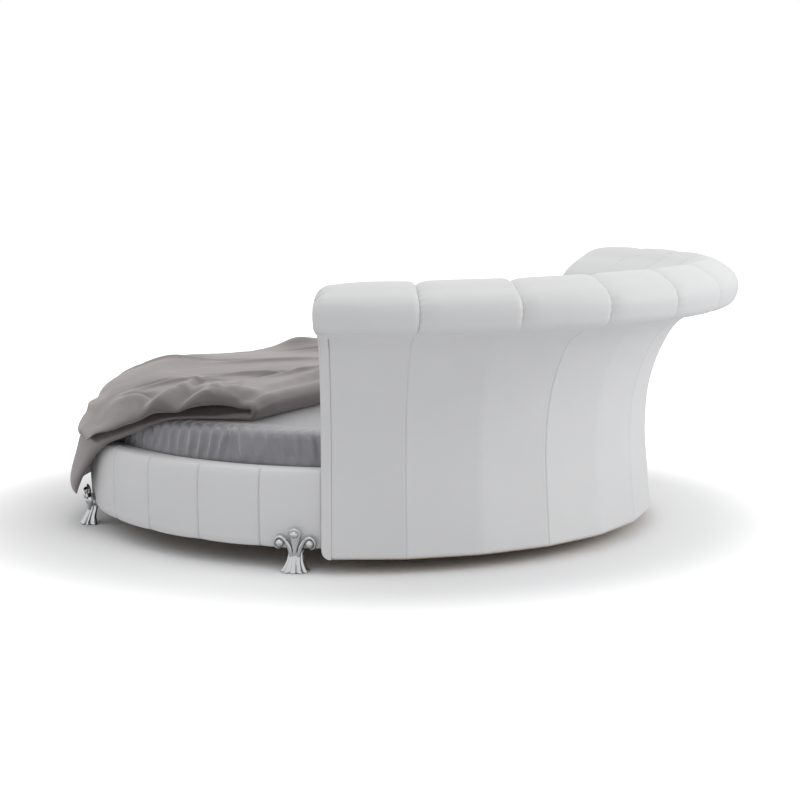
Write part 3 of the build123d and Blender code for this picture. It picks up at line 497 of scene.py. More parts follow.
# %% [markdown]
# The upholstery is sewn in channels: foam lies under the leather, and each seam pulls it down. One
# function gives that pull for any row of channels. Far from a seam it is a gentle crown, near the
# seam a narrow crease, and short folds run out from the stitches. Grid lines crowd at the seams,
# where the shape turns quickly, by spacing them with a cosine. In the names of depths, FOLDS are the
# short folds at a seam, SLACK is leather that lies loose, and DIP or SINK is an edge drawn in.

# %% Angles of the channels
HEAD_START, HEAD_ARC, HEAD_CHANNELS = 21.15, 137.7, 10
HEAD_PITCH = HEAD_ARC / HEAD_CHANNELS
RAIL_PITCH = (360 - HEAD_ARC) / 17
CUT_LOW, CUT_HIGH = (1.112, HEAD_START - 1.5), (1.433, HEAD_START)


def cut_angle(radius):
    """Angle in degrees at which the flat end of the headboard lies at a radius.

    The end is a straight line in plan, radius * cos(angle - normal) = distance, through two corners.
    """
    corners = np.stack([polar(angle, reach, 0.0)[:2] for reach, angle in (CUT_LOW, CUT_HIGH)])
    along = corners[1] - corners[0]
    normal = np.array([along[1], -along[0]]) / np.linalg.norm(along)
    share = np.clip((corners[0] @ normal) / np.asarray(radius, float), -1, 1)
    return np.degrees(np.arctan2(normal[1], normal[0]) + np.arccos(share))


def head_angles(places, radius, band):
    """Angle of each place along the headboard, where the outermost channels reach to the flat ends.

    Between the first and last seam the pitch is even; the two end channels are stretched to end a
    band's width short of the cut.
    """
    angle = HEAD_START + places * HEAD_PITCH
    start = cut_angle(radius) + np.degrees(band / radius)
    first = start + np.clip(places, 0, 1) * (HEAD_START + HEAD_PITCH - start)
    last_place = np.clip(HEAD_CHANNELS - places, 0, 1)
    last = 180 - (start + last_place * (HEAD_START + HEAD_PITCH - start))
    return np.where(places < 1, first, np.where(places > HEAD_CHANNELS - 1, last, angle))


print("rail channel", round(RAIL_PITCH, 3), "degrees, headboard channel", HEAD_PITCH)

# %% Seam shapes
def bell(value, middle, width):
    """Bump exp(-((v - m) / w)^2)."""
    return np.exp(-((value - middle) / width) ** 2)


def channel_places(channels, steps):
    """Places 0 to channels along a row, with (1 - cos) / 2 spacing inside each channel."""
    within = (1 - np.cos(np.linspace(0, np.pi, steps, endpoint=False))) / 2
    return np.append((np.arange(channels)[:, None] + within).ravel(), channels)


def seam_distance(places, pitch_length):
    """Length from each place to its nearest seam."""
    part = places % 1
    return np.minimum(part, 1 - part) * pitch_length


def drift(first, second, seed):
    """Smooth unevenness between -1 and 1: a sum of crossed sine waves with fixed phases."""
    generator = np.random.default_rng(seed)
    total = 0
    for scale in (1.0, 1.7, 2.9, 4.6):
        turn, phase, other = generator.uniform(0, 2 * np.pi, 3)
        total = total + np.sin(scale * (first * np.cos(turn) + second * np.sin(turn)) + phase) * np.cos(
            scale * 0.7 * second + other) / scale
    return total / 1.9


def stitch_folds(run, distance, seed):
    """Short folds beside a seam: waves along it that fade with the distance from it."""
    waves = np.sin(run / 0.0021 + 2.0 * drift(run / 0.011, run / 0.05, seed))
    return waves * np.exp(-distance / 0.011) * (0.55 + 0.45 * drift(run / 0.06, distance / 0.05, seed + 1))


def channel_pull(distance, pitch_length, crown, crease, width):
    """Depth that a seam draws the surface in: crown * (1 - 2 d / pitch)^3 + crease * exp(-(d / width)^2)."""
    side = np.clip(1 - 2 * distance / pitch_length, 0, 1)
    return crown * side**3 + crease * bell(distance, 0, width)


print("pull at a seam", channel_pull(0.0, 0.4, crown=0.003, crease=0.008, width=0.003))

# %% [markdown]
# The rail is a curved board with a leather cover that laps over and under it. Its section is one
# closed line. Swept round the bed and pulled in at the seams, it gives the padded front.

# %% Rail covers
RAIL_LINE = [(1.112, 0.0802), (1.150, 0.0803), (1.1655, 0.0845), (1.1728, 0.098), (1.1765, 0.132),
             (1.1795, 0.190), (1.1800, 0.236), (1.1792, 0.285), (1.1760, 0.335), (1.1715, 0.359),
             (1.1640, 0.3735), (1.1500, 0.3805), (1.1300, 0.3818), (1.112, 0.3818)]
RAIL_BACK = [(1.112, 0.3702), (1.1363, 0.3702), (1.1363, 0.0918), (1.112, 0.0918)]
rail_front = smooth_line(RAIL_LINE, 120)
rail_line = np.concatenate([rail_front, RAIL_BACK])
rail_out = line_normals(rail_line, True)
rail_weight = np.clip((rail_line[:, 0] - 1.1366) / 0.025, 0, 1)
rail_run = np.concatenate(([0], np.cumsum(np.linalg.norm(np.diff(rail_line, axis=0), axis=1))))
RAIL_REACH = 1.18
RAIL_FOLDS, RAIL_SLACK = 0.0007, 0.0008
rail_start = HEAD_START
for rail_side, rail_count, rail_seed in (("right", 6, 11), ("foot", 5, 23), ("left", 6, 37)):
    rail_start -= rail_count * RAIL_PITCH
    places = channel_places(rail_count, 34)
    rail_width = np.radians(RAIL_PITCH) * RAIL_REACH
    away = seam_distance(places, rail_width)[:, None]
    pull = channel_pull(away, rail_width, crown=0.0034, crease=0.0085, width=0.0031)
    along = places[:, None] * rail_width
    pull = pull - RAIL_FOLDS * stitch_folds(rail_run[None, :] + along // rail_width, away, rail_seed)
    pull = pull + RAIL_SLACK * (1 + drift(along / 0.07, rail_run[None, :] / 0.06, rail_seed + 5))
    pull = pull * rail_weight
    section = rail_line[None] - rail_out[None] * pull[..., None]
    angles = rail_start + places[:, None] * RAIL_PITCH
    if rail_side != "foot":
        stop = cut_angle(section[..., 0]) - 0.02
        way = 1 if rail_side == "right" else -1
        from_end = rail_count - places if rail_side == "right" else places
        shift = np.clip(1 - from_end, 0, 1)[:, None] * (HEAD_START - stop)
        angles = angles - way * shift
    cover = grid_piece("rail_leather_" + rail_side, polar(angles, section[..., 0], section[..., 1]),
                       wrap_columns=True, caps=True)
    dress(cover, leather, "leather", "bed_frame", "rail_" + rail_side + "_cover")
print("three rail covers,", len(cover.data.polygons), "faces on the last")

# %% [markdown]
# The back of the headboard is leather drawn tight over upright ribs, so from above it is a chain of
# nearly flat panels. Every second rib carries a sewn seam, the others only a soft edge. The wall is
# slim at its waist and sweeps out below the roll.

# %% Wall line
WALL_LINE = [(1.230, 0.0575), (1.2135, 0.240), (1.202, 0.430), (1.219, 0.611), (1.262, 0.739),
             (1.328, 0.847), (1.433, 0.910)]
WALL_FOOT = WALL_LINE[0][1]
EDGE_BAND = 0.037
WALL_REACH = 1.215
FACET_BOW = 0.0082


def wall_shape(count):
    """Outer line of the wall from its foot to the neck, as (radius, height) points."""
    return smooth_line(WALL_LINE, count)


def facet(places):
    """Inward bow of a panel between two ribs: 4 p (1 - p) times the depth of a flat chord."""
    part = places % 1
    return FACET_BOW * 4 * part * (1 - part)


print("deepest bow of a panel", facet(0.5))

# %% Back cover
SEAM_DIP, SEAM_LIP, RIB_DIP, SIDE_DIP = 0.0040, 0.0006, 0.0010, 0.0035
BACK_FOLDS, BACK_SLACK, COVER_THICK = 0.0004, 0.0006, 0.010
wall_outer = wall_shape(150)
wall_normal = line_normals(wall_outer, False)
wall_foot = np.array([(1.150, 0.0578), (1.196, 0.0578), (1.215, 0.0580), (1.2235, 0.0600),
                      (1.2278, 0.0650)])
wall_keep = wall_outer[:, 1] > 0.070
wall_outer, wall_normal = wall_outer[wall_keep], wall_normal[wall_keep]
wall_inner = (wall_outer - COVER_THICK * wall_normal)[::-1]
wall_line = np.concatenate([wall_foot, wall_outer, wall_inner])
wall_out = line_normals(wall_line, True)
wall_front = np.concatenate([np.ones(len(wall_foot) + len(wall_outer)), np.zeros(len(wall_inner))])
wall_run = np.concatenate(([0], np.cumsum(np.linalg.norm(np.diff(wall_line, axis=0), axis=1))))

places = channel_places(HEAD_CHANNELS, 30)
wall_width = np.radians(HEAD_PITCH) * WALL_REACH
away = seam_distance(places, wall_width)[:, None]
sewn = (np.round(places) % 2 == 1)[:, None]
seam_dip = SEAM_DIP * bell(away, 0, 0.0024) - SEAM_LIP * bell(away, 0.007, 0.004)
pull = np.where(sewn, seam_dip, RIB_DIP * bell(away, 0, 0.006))
along = places[:, None] * wall_width
pull = pull - BACK_FOLDS * sewn * stitch_folds(wall_run[None, :], away, 51)
level = np.clip((0.905 - wall_line[:, 1]) / 0.05, 0, 1)
pull = pull + BACK_SLACK * level * (1 + drift(along / 0.10, wall_run[None, :] / 0.13, 52))
edge_away = np.minimum(places - places[0], places[-1] - places)[:, None] * wall_width
pull = pull + SIDE_DIP * bell(edge_away, 0, 0.003)
section = wall_line[None] - wall_out[None] * (pull * wall_front)[..., None]
reach = section[..., 0] - facet(places)[:, None]
angles = head_angles(places[:, None], reach, EDGE_BAND)
back = grid_piece("headboard_back_leather", polar(angles, reach, section[..., 1]), wrap_columns=True,
                  caps=True)
dress(back, leather, "leather", "bed_frame", "headboard_back_cover")
print("back cover", len(back.data.polygons), "faces")

# %% [markdown]
# Each end of the headboard is wrapped by one strip of leather. It starts at a seam 30 mm round the
# back, turns over a soft edge, covers the end and turns back on the inner side. At every height the
# strip is a U, so the grid has one row for each height and one column for each place on the U.

# %% End strip
INNER_LINE = [(1.112, 0.0575), (1.112, 0.250), (1.112, 0.470), (1.1155, 0.560), (1.126, 0.650),
              (1.140, 0.725), (1.158, 0.790), (1.196, 0.910)]
CORNER = 0.009
LOW_CORNER = 0.036
OUTER_SINK, INNER_SINK_SHARE, FACE_SWELL = 0.004, 2.4, 0.003


def edge_strip(height_count):
    """U-shaped strip, as (distance from the end, radius, height) for every row and column.

    A corner is a quarter circle of 9 mm; the end face swells by 3 mm * 4 s (1 - s). At the floor
    the outline rounds off with a circle of 36 mm, so the strip's lowest row follows it. Each leg
    dips at its seam, 4 mm on the back and 10 mm on the inner side, where thicker padding meets it.
    """
    outer = wall_shape(height_count)
    inner = smooth_line(INNER_LINE, height_count)
    thickness = np.linalg.norm(inner - outer, axis=1)[:, None]
    turn = np.linspace(0, np.pi / 2, 7)[None]
    leg = np.linspace(EDGE_BAND, CORNER, 9)[None]
    face = np.linspace(0, 1, 26)[None, 1:-1]
    dip = OUTER_SINK * bell(leg, EDGE_BAND, 0.003) / thickness
    rise = CORNER * (1 - np.cos(turn)) / thickness
    bend = CORNER * (1 - np.sin(turn)) + 0 * thickness
    corner_share = CORNER / thickness
    share = np.concatenate([dip, rise, corner_share + (1 - 2 * corner_share) * face,
                            1 - rise[:, ::-1], 1 - INNER_SINK_SHARE * dip[:, ::-1]], axis=1)
    swelling = -FACE_SWELL * 4 * face * (1 - face) + 0 * thickness
    depth = np.concatenate([leg + 0 * thickness, bend, swelling, bend[:, ::-1],
                            leg[:, ::-1] + 0 * thickness], axis=1)
    points = outer[:, None] + (inner - outer)[:, None] * share[..., None]
    low = np.clip(1 - depth / LOW_CORNER, 0, 1)
    floor_line = WALL_FOOT + LOW_CORNER * (1 - np.sqrt(1 - low**2))
    top = points[..., 1].max(axis=0)
    height = floor_line + (points[..., 1] - points[:1, :, 1]) * (top - floor_line) / (top - points[0, :, 1])
    return depth, points[..., 0], height


print("a strip has", edge_strip(10)[0].shape[1], "places on its U")

# %% Two end strips
def close_ends(depth, radius, height):
    """Four rows below the strip turn it in under the end, and one row above it is a flat lid."""
    shares = np.array([0.5, 0.8, 0.93, 0.985])[:, None]
    middle = (radius[0].min() + radius[0].max()) / 2
    low_reach = middle + (radius[:1] - middle) * shares
    low_height = np.maximum(height[:1] - 0.002 * np.sqrt(1 - shares**2), WALL_FOOT - 0.0002)
    middle = (radius[-1].min() + radius[-1].max()) / 2
    lid_reach = middle + (radius[-1:] - middle) * 0.02
    return (np.concatenate([np.repeat(depth[:1], 4, axis=0), depth, depth[-1:]]),
            np.concatenate([low_reach, radius, lid_reach]),
            np.concatenate([low_height, height, height[-1:]]))


strip_depth, strip_reach, strip_height = close_ends(*edge_strip(130))
strip_turn = cut_angle(strip_reach) + np.degrees(strip_depth / strip_reach)
for end_side, end_turn in (("right", strip_turn), ("left", 180 - strip_turn)):
    strip_piece = grid_piece("headboard_end_leather_" + end_side,
                             polar(end_turn, strip_reach, strip_height), flip=end_side == "right")
    dress(strip_piece, leather, "leather", "bed_frame", "headboard_end_" + end_side)
print("two end strips")

# %% [markdown]
# On the sleeper's side the headboard is softer. Ten upright channels are stuffed, so the pull of
# each seam is deeper and the crown between two seams is rounder than on the back.

# %% Inner padding
PAD_LINE = [(1.112, 0.278), (1.112, 0.470), (1.1155, 0.560), (1.126, 0.650), (1.140, 0.725),
            (1.158, 0.790), (1.196, 0.9095)]
pad_front = smooth_line(PAD_LINE, 120)[::-1]
pad_out = line_normals(pad_front, False)
PAD_DEPTH, PAD_TUCK = 0.024, 0.004
PAD_FOLDS, PAD_SLACK, PAD_SIDE_DIP = 0.0010, 0.0012, 0.006
pad_back = (pad_front - PAD_DEPTH * pad_out)[::-1]
pad_line = np.concatenate([pad_front, pad_back])
pad_normal = np.concatenate([pad_out, np.zeros_like(pad_out)])
pad_run = np.arange(len(pad_line)) * 0.0055
PAD_REACH = 1.125
places = channel_places(HEAD_CHANNELS, 34)
pad_width = np.radians(HEAD_PITCH) * PAD_REACH
away = seam_distance(places, pad_width)[:, None]
edge_away = np.minimum(places - places[0], places[-1] - places)[:, None] * pad_width
pull = channel_pull(away, pad_width, crown=0.0085, crease=0.0065, width=0.006)
pull = pull - PAD_FOLDS * stitch_folds(pad_run[None, :], away, 71)
pull = pull + PAD_SLACK * (1 + drift(places[:, None] * pad_width / 0.08, pad_run[None, :] / 0.10, 72))
pull = pull + PAD_SIDE_DIP * bell(edge_away, 0, 0.006)
section = pad_line[None] - pad_normal[None] * pull[..., None]
angles = head_angles(places[:, None], section[..., 0], EDGE_BAND - PAD_TUCK)
inner = grid_piece("headboard_inner_leather", polar(angles, section[..., 0], section[..., 1]),
                   wrap_columns=True, caps=True)
dress(inner, leather, "leather", "bed_frame", "headboard_inner_pad")
print("inner padding", len(inner.data.polygons), "faces")

# %% [markdown]
# The rolled lip is ten stuffed pads side by side. Each one keeps the same kidney-shaped section and
# tightens towards its two seams, where it ends in a soft quarter round. The pads at the two ends of
# the headboard round off fully, with small pleats where the leather is gathered.

# %% Roll line
ROLL_LINE = [(1.196, 0.9106), (1.275, 0.9104), (1.355, 0.9104), (1.385, 0.9060), (1.402, 0.8930),
             (1.4333, 0.9062), (1.468, 0.9122), (1.502, 0.9178), (1.532, 0.9255), (1.556, 0.944),
             (1.567, 0.970), (1.5705, 1.000), (1.563, 1.032), (1.542, 1.060), (1.509, 1.0835),
             (1.475, 1.1025), (1.438, 1.1115), (1.385, 1.096), (1.330, 1.063), (1.283, 1.037),
             (1.240, 1.006), (1.216, 0.982), (1.203, 0.955), (1.1965, 0.930), (1.196, 0.9106)]
ROLL_REACH = 1.45
roll_line = smooth_line(ROLL_LINE, 171)[:-1]
roll_out = line_normals(roll_line, True)
roll_run = np.arange(len(roll_line)) * np.linalg.norm(np.diff(roll_line, axis=0), axis=1).mean()
roll_free = np.clip((roll_line[:, 1] - ROLL_LINE[0][1]) / 0.05, 0, 1)
roll_width = np.radians(HEAD_PITCH) * ROLL_REACH
BEFORE_SEAM, AFTER_SEAM, ROUND_END = (0.026, 0.015), (0.060, 0.019), (0.044, 0.034)
ROLL_CROWN, ROLL_FOLDS, ROLL_SLACK = 0.003, 0.0022, 0.0016
END_SINK, TUCK_DEPTH, ROLL_DROP = 0.016, 0.012, 0.014
print("roll section", round(float(roll_run[-1]), 3), "m round, pad", round(roll_width, 3), "m wide")

# %% Roll pads
def quarter_round(distance, width, depth):
    """Depth of a quarter round that starts at an edge: depth * (1 - sqrt(1 - (1 - d / width)^2))."""
    part = np.clip(1 - distance / width, 0, 1)
    return depth * (1 - np.sqrt(1 - part**2))


def roll_pad(number):
    """One stuffed pad: its section shrinks along the normals at both seams, the crown is at its middle."""
    steps = (1 - np.cos(np.linspace(0, np.pi, 54))) / 2
    steps = np.clip(steps, 0.0008, 0.9992)
    low, high = steps * roll_width, (1 - steps) * roll_width
    low_end, high_end = number == 0, number == HEAD_CHANNELS - 1
    inset = (quarter_round(low, *(ROUND_END if low_end else AFTER_SEAM))
             + quarter_round(high, *(ROUND_END if high_end else BEFORE_SEAM)))
    end_away = low if low_end else high if high_end else 1.0 + 0 * low
    crown = ROLL_CROWN * np.abs(2 * steps - 1) ** 3
    near = np.minimum(low, high)[:, None]
    folds = ROLL_FOLDS * stitch_folds(roll_run[None, :] * 0.45, near * 0.55, 90 + number)
    slack = ROLL_SLACK * (1 + drift(steps[:, None] * 3.4, roll_run[None, :] / 0.10, 120 + number))
    at_an_end = low_end or high_end
    inset_free = np.clip((roll_line[:, 1] - ROLL_LINE[0][1]) / 0.022, 0, 1) if at_an_end else roll_free
    pull = ((inset + crown)[:, None] * (0.10 + 0.90 * inset_free) + slack * roll_free - folds * roll_free)
    sink = END_SINK * np.clip(1 - end_away / 0.20, 0, 1)[:, None] ** 2
    pull = pull + sink * bell(roll_line[None, :, 0], 1.44, 0.07) * roll_free
    on_top = roll_line[None, :, 1] > 1.02
    for tuck_radius, tuck_slope in ((1.532, 0.55), (1.498, 0.25)):
        tuck_away = (roll_line[None, :, 0] - tuck_radius + tuck_slope * end_away[:, None]) * on_top
        tuck = np.exp(-(tuck_away / 0.006) ** 2 - (end_away[:, None] / 0.030) ** 2)
        pull = pull + TUCK_DEPTH * tuck * on_top
    angle = HEAD_START + (number + steps) * HEAD_PITCH
    drop = ROLL_DROP * (1 - np.cos(np.radians(angle - 90))) / (1 - np.cos(np.radians(HEAD_ARC / 2)))
    section = roll_line[None] - roll_out[None] * pull[..., None]
    neck = bell(roll_line[:, 1], 0.900, 0.016)
    section = section - np.stack([facet(number + steps)[:, None] * neck, 0 * pull], axis=-1)
    height = section[..., 1] - drop[:, None] * np.clip((section[..., 1] - 0.92) / 0.15, 0, 1)
    return polar(angle[:, None], section[..., 0], height)


for number in range(HEAD_CHANNELS):
    name = str(number + 1).zfill(2)
    pad = grid_piece("roll_leather_" + name, roll_pad(number), wrap_columns=True, caps=True)
    dress(pad, leather, "leather", "bed_frame", "roll_pad_" + name)
print("ten roll pads,", len(pad.data.polygons), "faces each")

# %% [markdown]
# Each chrome foot is one casting in three parts. A fluted skirt narrows to a waist. Two arms sweep out
# of it and end in a ball under a rolled rim, and a leaf between them curls its rounded head forward.
# All are tubes round a line. A foot is worked out once, facing out, and turned to its four places.

# %% Tubes and balls
def tube(centres, across, forward, half_width, half_depth, columns=28):
    """Rings round a line: centre + half_width * cos t * across + half_depth * sin t * forward."""
    turn = np.linspace(0, 2 * np.pi, columns, endpoint=False)[None, :, None]
    return (centres[:, None] + half_width[:, None, None] * np.cos(turn) * across[:, None]
            + half_depth[:, None, None] * np.sin(turn) * forward[:, None])


def ball(centre, radii, rows=20, columns=28):
    """Ellipsoid as rings that shrink to a point at both ends."""
    lean = np.linspace(0.02, np.pi - 0.02, rows)
    centres = np.asarray(centre) + np.stack([0 * lean, 0 * lean, -radii[2] * np.cos(lean)], axis=-1)
    ring = np.sin(lean)
    return tube(centres, np.tile([0.0, 1.0, 0.0], (rows, 1)), np.tile([-1.0, 0.0, 0.0], (rows, 1)),
                radii[1] * ring, radii[0] * ring, columns)


print("a ball has", ball((0, 0, 0), (1, 1, 1)).shape[0], "rings")

# %% Skirt
def skirt():
    """Waist and skirt: an oval whose half axes follow a bell line, with flutes that deepen downwards.

    A flute is 1 - depth * (1 - |cos(5 t)|^0.6), so ribs with narrow valleys run down the front. Behind,
    the oval's cosine and sine are raised to a power below 1, which squares it off to a flat back.
    """
    line = smooth_line([(0.0500, 0.0012), (0.0520, 0.0030), (0.0500, 0.0075), (0.0445, 0.0150),
                        (0.0375, 0.0270), (0.0318, 0.0420), (0.0285, 0.0580), (0.0270, 0.0765)], 60)
    turn = np.linspace(0, 2 * np.pi, 168, endpoint=False)[None]
    half, height = line[:, :1] * 1.07, line[:, 1:]
    front = np.clip(np.cos(turn) * 3 + 0.6, 0, 1)
    depth = (0.16 + 0.24 * np.clip(1 - height / 0.055, 0, 1)) * front
    half = half * (1 - depth * (1 - np.abs(np.cos(5 * turn)) ** 0.6))
    scallop = 0.0022 * (1 - np.abs(np.cos(5 * turn))) * np.clip(1 - height / 0.012, 0, 1) * front
    power = np.where(np.cos(turn) > 0, 1.0, 0.42)
    out = np.sign(np.cos(turn)) * np.abs(np.cos(turn)) ** power * np.where(np.cos(turn) > 0, 0.72, 0.62)
    wide = np.sign(np.sin(turn)) * np.abs(np.sin(turn)) ** power
    shift = 0.016 * np.clip(1 - height / 0.075, 0, 1) + 0.010
    return np.stack([shift + half * out, half * wide, height + scallop + 0 * turn], axis=-1)


print("skirt", np.ptp(skirt()[..., 1]).round(3), "m wide")

# %% Arms and leaf
def arm(way):
    """Side arm: a band that rises out of the waist, sweeps outwards and rolls round its ball."""
    path = smooth_line([(0.0120, 0.022), (0.0125, 0.045), (0.0150, 0.066), (0.0205, 0.088),
                        (0.0310, 0.110), (0.0440, 0.1265), (0.0570, 0.1315), (0.0700, 0.1265),
                        (0.0778, 0.1130), (0.0765, 0.0985), (0.0670, 0.0890), (0.0570, 0.0865)], 72)
    share = np.linspace(0, 1, 72)
    along = np.gradient(path, axis=0)
    along /= np.linalg.norm(along, axis=1, keepdims=True)
    out = 0.0230 + 0.0275 * np.clip((path[:, 1] - 0.022) / 0.040, 0, 1) ** 0.7
    out = np.where(share < 0.45, out, 0.0505)
    centres = np.stack([out - 0.024, way * path[:, 0], path[:, 1]], axis=-1)
    across = np.stack([0 * share, -way * along[:, 1], along[:, 0]], axis=-1)
    forward = np.tile([1.0 * way, 0.0, 0.0], (72, 1))
    width = np.interp(share, [0, 0.15, 0.35, 0.55, 0.75, 0.93, 1], [4.0, 7.5, 9.2, 8.2, 6.0, 4.4, 0.6]) / 1000
    depth = np.interp(share, [0, 0.2, 0.4, 0.6, 0.8, 0.93, 1], [5, 8.5, 10.5, 11.5, 11.5, 8.0, 1.0]) / 1000
    return tube(centres, across, forward, width, depth)


def leaf():
    """Middle leaf: narrow at the waist, widest at its head, which leans forward and rounds over."""
    path = smooth_line([(0.0300, 0.040), (0.0345, 0.065), (0.0330, 0.085), (0.0300, 0.108),
                        (0.0300, 0.132), (0.0335, 0.153), (0.0375, 0.1640), (0.0395, 0.1665)], 54)
    share = np.linspace(0, 1, 54)
    along = np.gradient(path, axis=0)
    along /= np.linalg.norm(along, axis=1, keepdims=True)
    centres = np.stack([path[:, 0] - 0.004, 0 * share, path[:, 1]], axis=-1)
    across = np.tile([0.0, 1.0, 0.0], (54, 1))
    forward = np.stack([-along[:, 1], 0 * share, along[:, 0]], axis=-1)
    width = np.interp(share, [0, 0.2, 0.38, 0.55, 0.72, 0.84, 0.93, 1], [2, 5, 9.5, 15.5, 22.5, 25, 19, 1])
    depth = np.interp(share, [0, 0.2, 0.5, 0.8, 0.95, 1], [2.5, 5.5, 7.0, 8.0, 6.0, 0.8])
    return tube(centres, across, forward, width / 1000, depth / 1000)


print("leaf", leaf()[..., 2].max().round(3), "m high")

# %% [markdown]
# The tubes and balls of a foot overlap, as in a casting, and become one mesh. A tube whose volume
# comes out negative runs the wrong way round, so its faces are turned before it is added.

# %% Chrome feet
FOOT_RADIUS, FACE_SET = 1.168, -0.004
FOOT_ANGLES = {"head_right": 15.2, "end_right": -49.0, "end_left": 229.0, "head_left": 164.8}


def at_foot(plan, foot_angle):
    """Plan points of a foot that faces +X, carried out to its radius and turned to its angle."""
    turn = np.radians(foot_angle)
    out, side = np.array([np.cos(turn), np.sin(turn)]), np.array([-np.sin(turn), np.cos(turn)])
    return (FOOT_RADIUS + plan[:, :1]) * out + plan[:, 1:2] * side


foot_grids = [skirt()]
for way in (-1, 1):
    foot_grids.append(arm(way))
    foot_grids.append(ball((0.0310, way * 0.0575, 0.1075), (0.0165, 0.0165, 0.0165)))
foot_grids.append(leaf())
foot_grids.append(ball((0.0385, 0.0, 0.1420), (0.0125, 0.0170, 0.0130)))
foot_points, foot_faces, foot_count = [], [], 0
for grid in foot_grids:
    rows, columns = grid.shape[:2]
    grid = grid.copy()
    grid[..., 0] += FACE_SET * np.clip((grid[..., 2] - 0.030) / 0.03, 0, 1)
    faces = grid_faces(rows, columns, False, True)
    flat = grid.reshape(-1, 3)
    cut = flat[faces]
    volume = np.einsum("ij,ij->i", np.cross(cut[:, 1] - cut[:, 0], cut[:, 2] - cut[:, 0]),
                       cut[:, 0] - flat.mean(axis=0)).sum()
    caps = [list(range(columns)), list(range((rows - 1) * columns, rows * columns))[::-1]]
    faces = faces.tolist() + caps
    if volume < 0:
        faces = [face[::-1] for face in faces]
    foot_points.append(flat)
    foot_faces += [[corner + foot_count for corner in face] for face in faces]
    foot_count += len(flat)
foot_points = np.concatenate(foot_points)
for foot_name, foot_angle in FOOT_ANGLES.items():
    points = np.column_stack([at_foot(foot_points, foot_angle), foot_points[:, 2]])
    foot = mesh_piece("chrome_foot_" + foot_name, points, foot_faces)
    dress(foot, chrome, "chrome", "bed_frame", "chrome_foot_" + foot_name)
print("four chrome feet,", len(foot_faces), "faces each")

# %% Felt soles
# The felt under each casting follows its outline, 14 percent smaller, and is 3 mm thick
SOLE_SHARE, SOLE_THICK = 0.86, 0.003
rim_ring = skirt()[1, ::4, :2]
sole_ring = rim_ring.mean(axis=0) + SOLE_SHARE * (rim_ring - rim_ring.mean(axis=0))
sole_count = len(sole_ring)
sole_points, sole_faces = [], []
for number, foot_angle in enumerate(FOOT_ANGLES.values()):
    for height in (0.0, SOLE_THICK):
        sole_points.append(np.column_stack([at_foot(sole_ring, foot_angle), np.full(sole_count, height)]))
    first = number * 2 * sole_count
    corner = np.arange(sole_count)
    following = (corner + 1) % sole_count
    walls = np.stack([corner, following, following + sole_count, corner + sole_count], axis=-1) + first
    sole_faces += walls.tolist()
    sole_faces += [(corner[::-1] + first).tolist(), (corner + sole_count + first).tolist()]
soles = mesh_piece("felt_soles", np.concatenate(sole_points), sole_faces)
dress(soles, felt, "felt", "bed_frame", "foot_soles")
print("felt soles", len(sole_faces), "faces")

# %% [markdown]
# The fitted sheet is one cloth pulled over the round mattress. It is smooth on top, turns over a soft
# rim and is gathered under the edge, so upright folds run down its side. Under it lies the core.

# %% Mattress line
def mattress_line(inset, count):
    """Half section from the middle of the top, over the rim and down to the tuck under the edge."""
    line = [(0.004, 0.5218), (0.36, 0.5218), (0.74, 0.5192), (0.96, 0.5152), (1.051, 0.5125),
            (1.0690, 0.5088), (1.0835, 0.4990), (1.0925, 0.4850), (1.0955, 0.4660), (1.0985, 0.4200),
            (1.0990, 0.3900), (1.0975, 0.3400), (1.0950, 0.3080), (1.0880, 0.2905), (1.0740, 0.2835),
            (1.0550, 0.2828), (1.0310, 0.2828)]
    line = smooth_line(line, count)
    return line + line_normals(line[::-1], False)[::-1] * -inset


print("mattress", round(2 * float(mattress_line(0.0, 50)[:, 0].max()), 3), "m across")

# %% Fitted sheet
SHEET_REACH, SHEET_PROUD, FOLD_DEPTH, BROAD_DEPTH, TOP_SLACK = 1.10, 0.0062, 0.0158, 0.0060, 0.0026
sheet_line = mattress_line(0.0, 260)
sheet_out = line_normals(sheet_line[::-1], False)[::-1]
sheet_run = np.concatenate(([0], np.cumsum(np.linalg.norm(np.diff(sheet_line, axis=0), axis=1))))
sheet_turn = np.linspace(0, 360, 900, endpoint=False)[:, None]
rim = np.clip((sheet_run - 1.02) / 0.09, 0, 1)
around = np.radians(sheet_turn) * SHEET_REACH
lean_share = sheet_run[None] - 1.07
fold_phase = (around / 0.0086 + 3.2 * drift(around / 0.14, lean_share / 0.10, 203)
              + 14.0 * lean_share * drift(around / 0.09, 0 * lean_share, 201))
fold_size = 0.78 + 0.34 * drift(around / 0.05, lean_share / 0.2, 205)
fold_ridge = (0.5 + 0.5 * np.sin(fold_phase)) ** 2 * fold_size
broad = drift(around / 0.034 + lean_share * 5.0, lean_share / 0.13, 202)
in_view = 0.25 + 0.75 * np.clip((1.20 - sheet_run) / 0.03, 0, 1)
side_pull = (SHEET_PROUD - FOLD_DEPTH * fold_ridge - BROAD_DEPTH * broad) * in_view
rings = sheet_line[None, :, 0]
top_x, top_y = rings * np.cos(np.radians(sheet_turn)), rings * np.sin(np.radians(sheet_turn))
top_fade = np.clip((1.08 - sheet_run) / 0.1, 0, 1) * np.clip(rings / 0.2, 0, 1)
top_drift = drift((top_x - 0.6 * top_y) / 0.055, (0.6 * top_x + top_y) / 0.16, 204)
top_pull = TOP_SLACK * (1 + top_drift) * top_fade
sheet_pull = side_pull * rim + top_pull
section = sheet_line[None] - sheet_out[None] * sheet_pull[..., None]
fitted = grid_piece("fitted_sheet_cloth", polar(sheet_turn, section[..., 0], section[..., 1]),
                    wrap_rows=True, flip=True)
dress(fitted, sheet_cloth, "sheet_cotton", "mattress", "fitted_sheet")
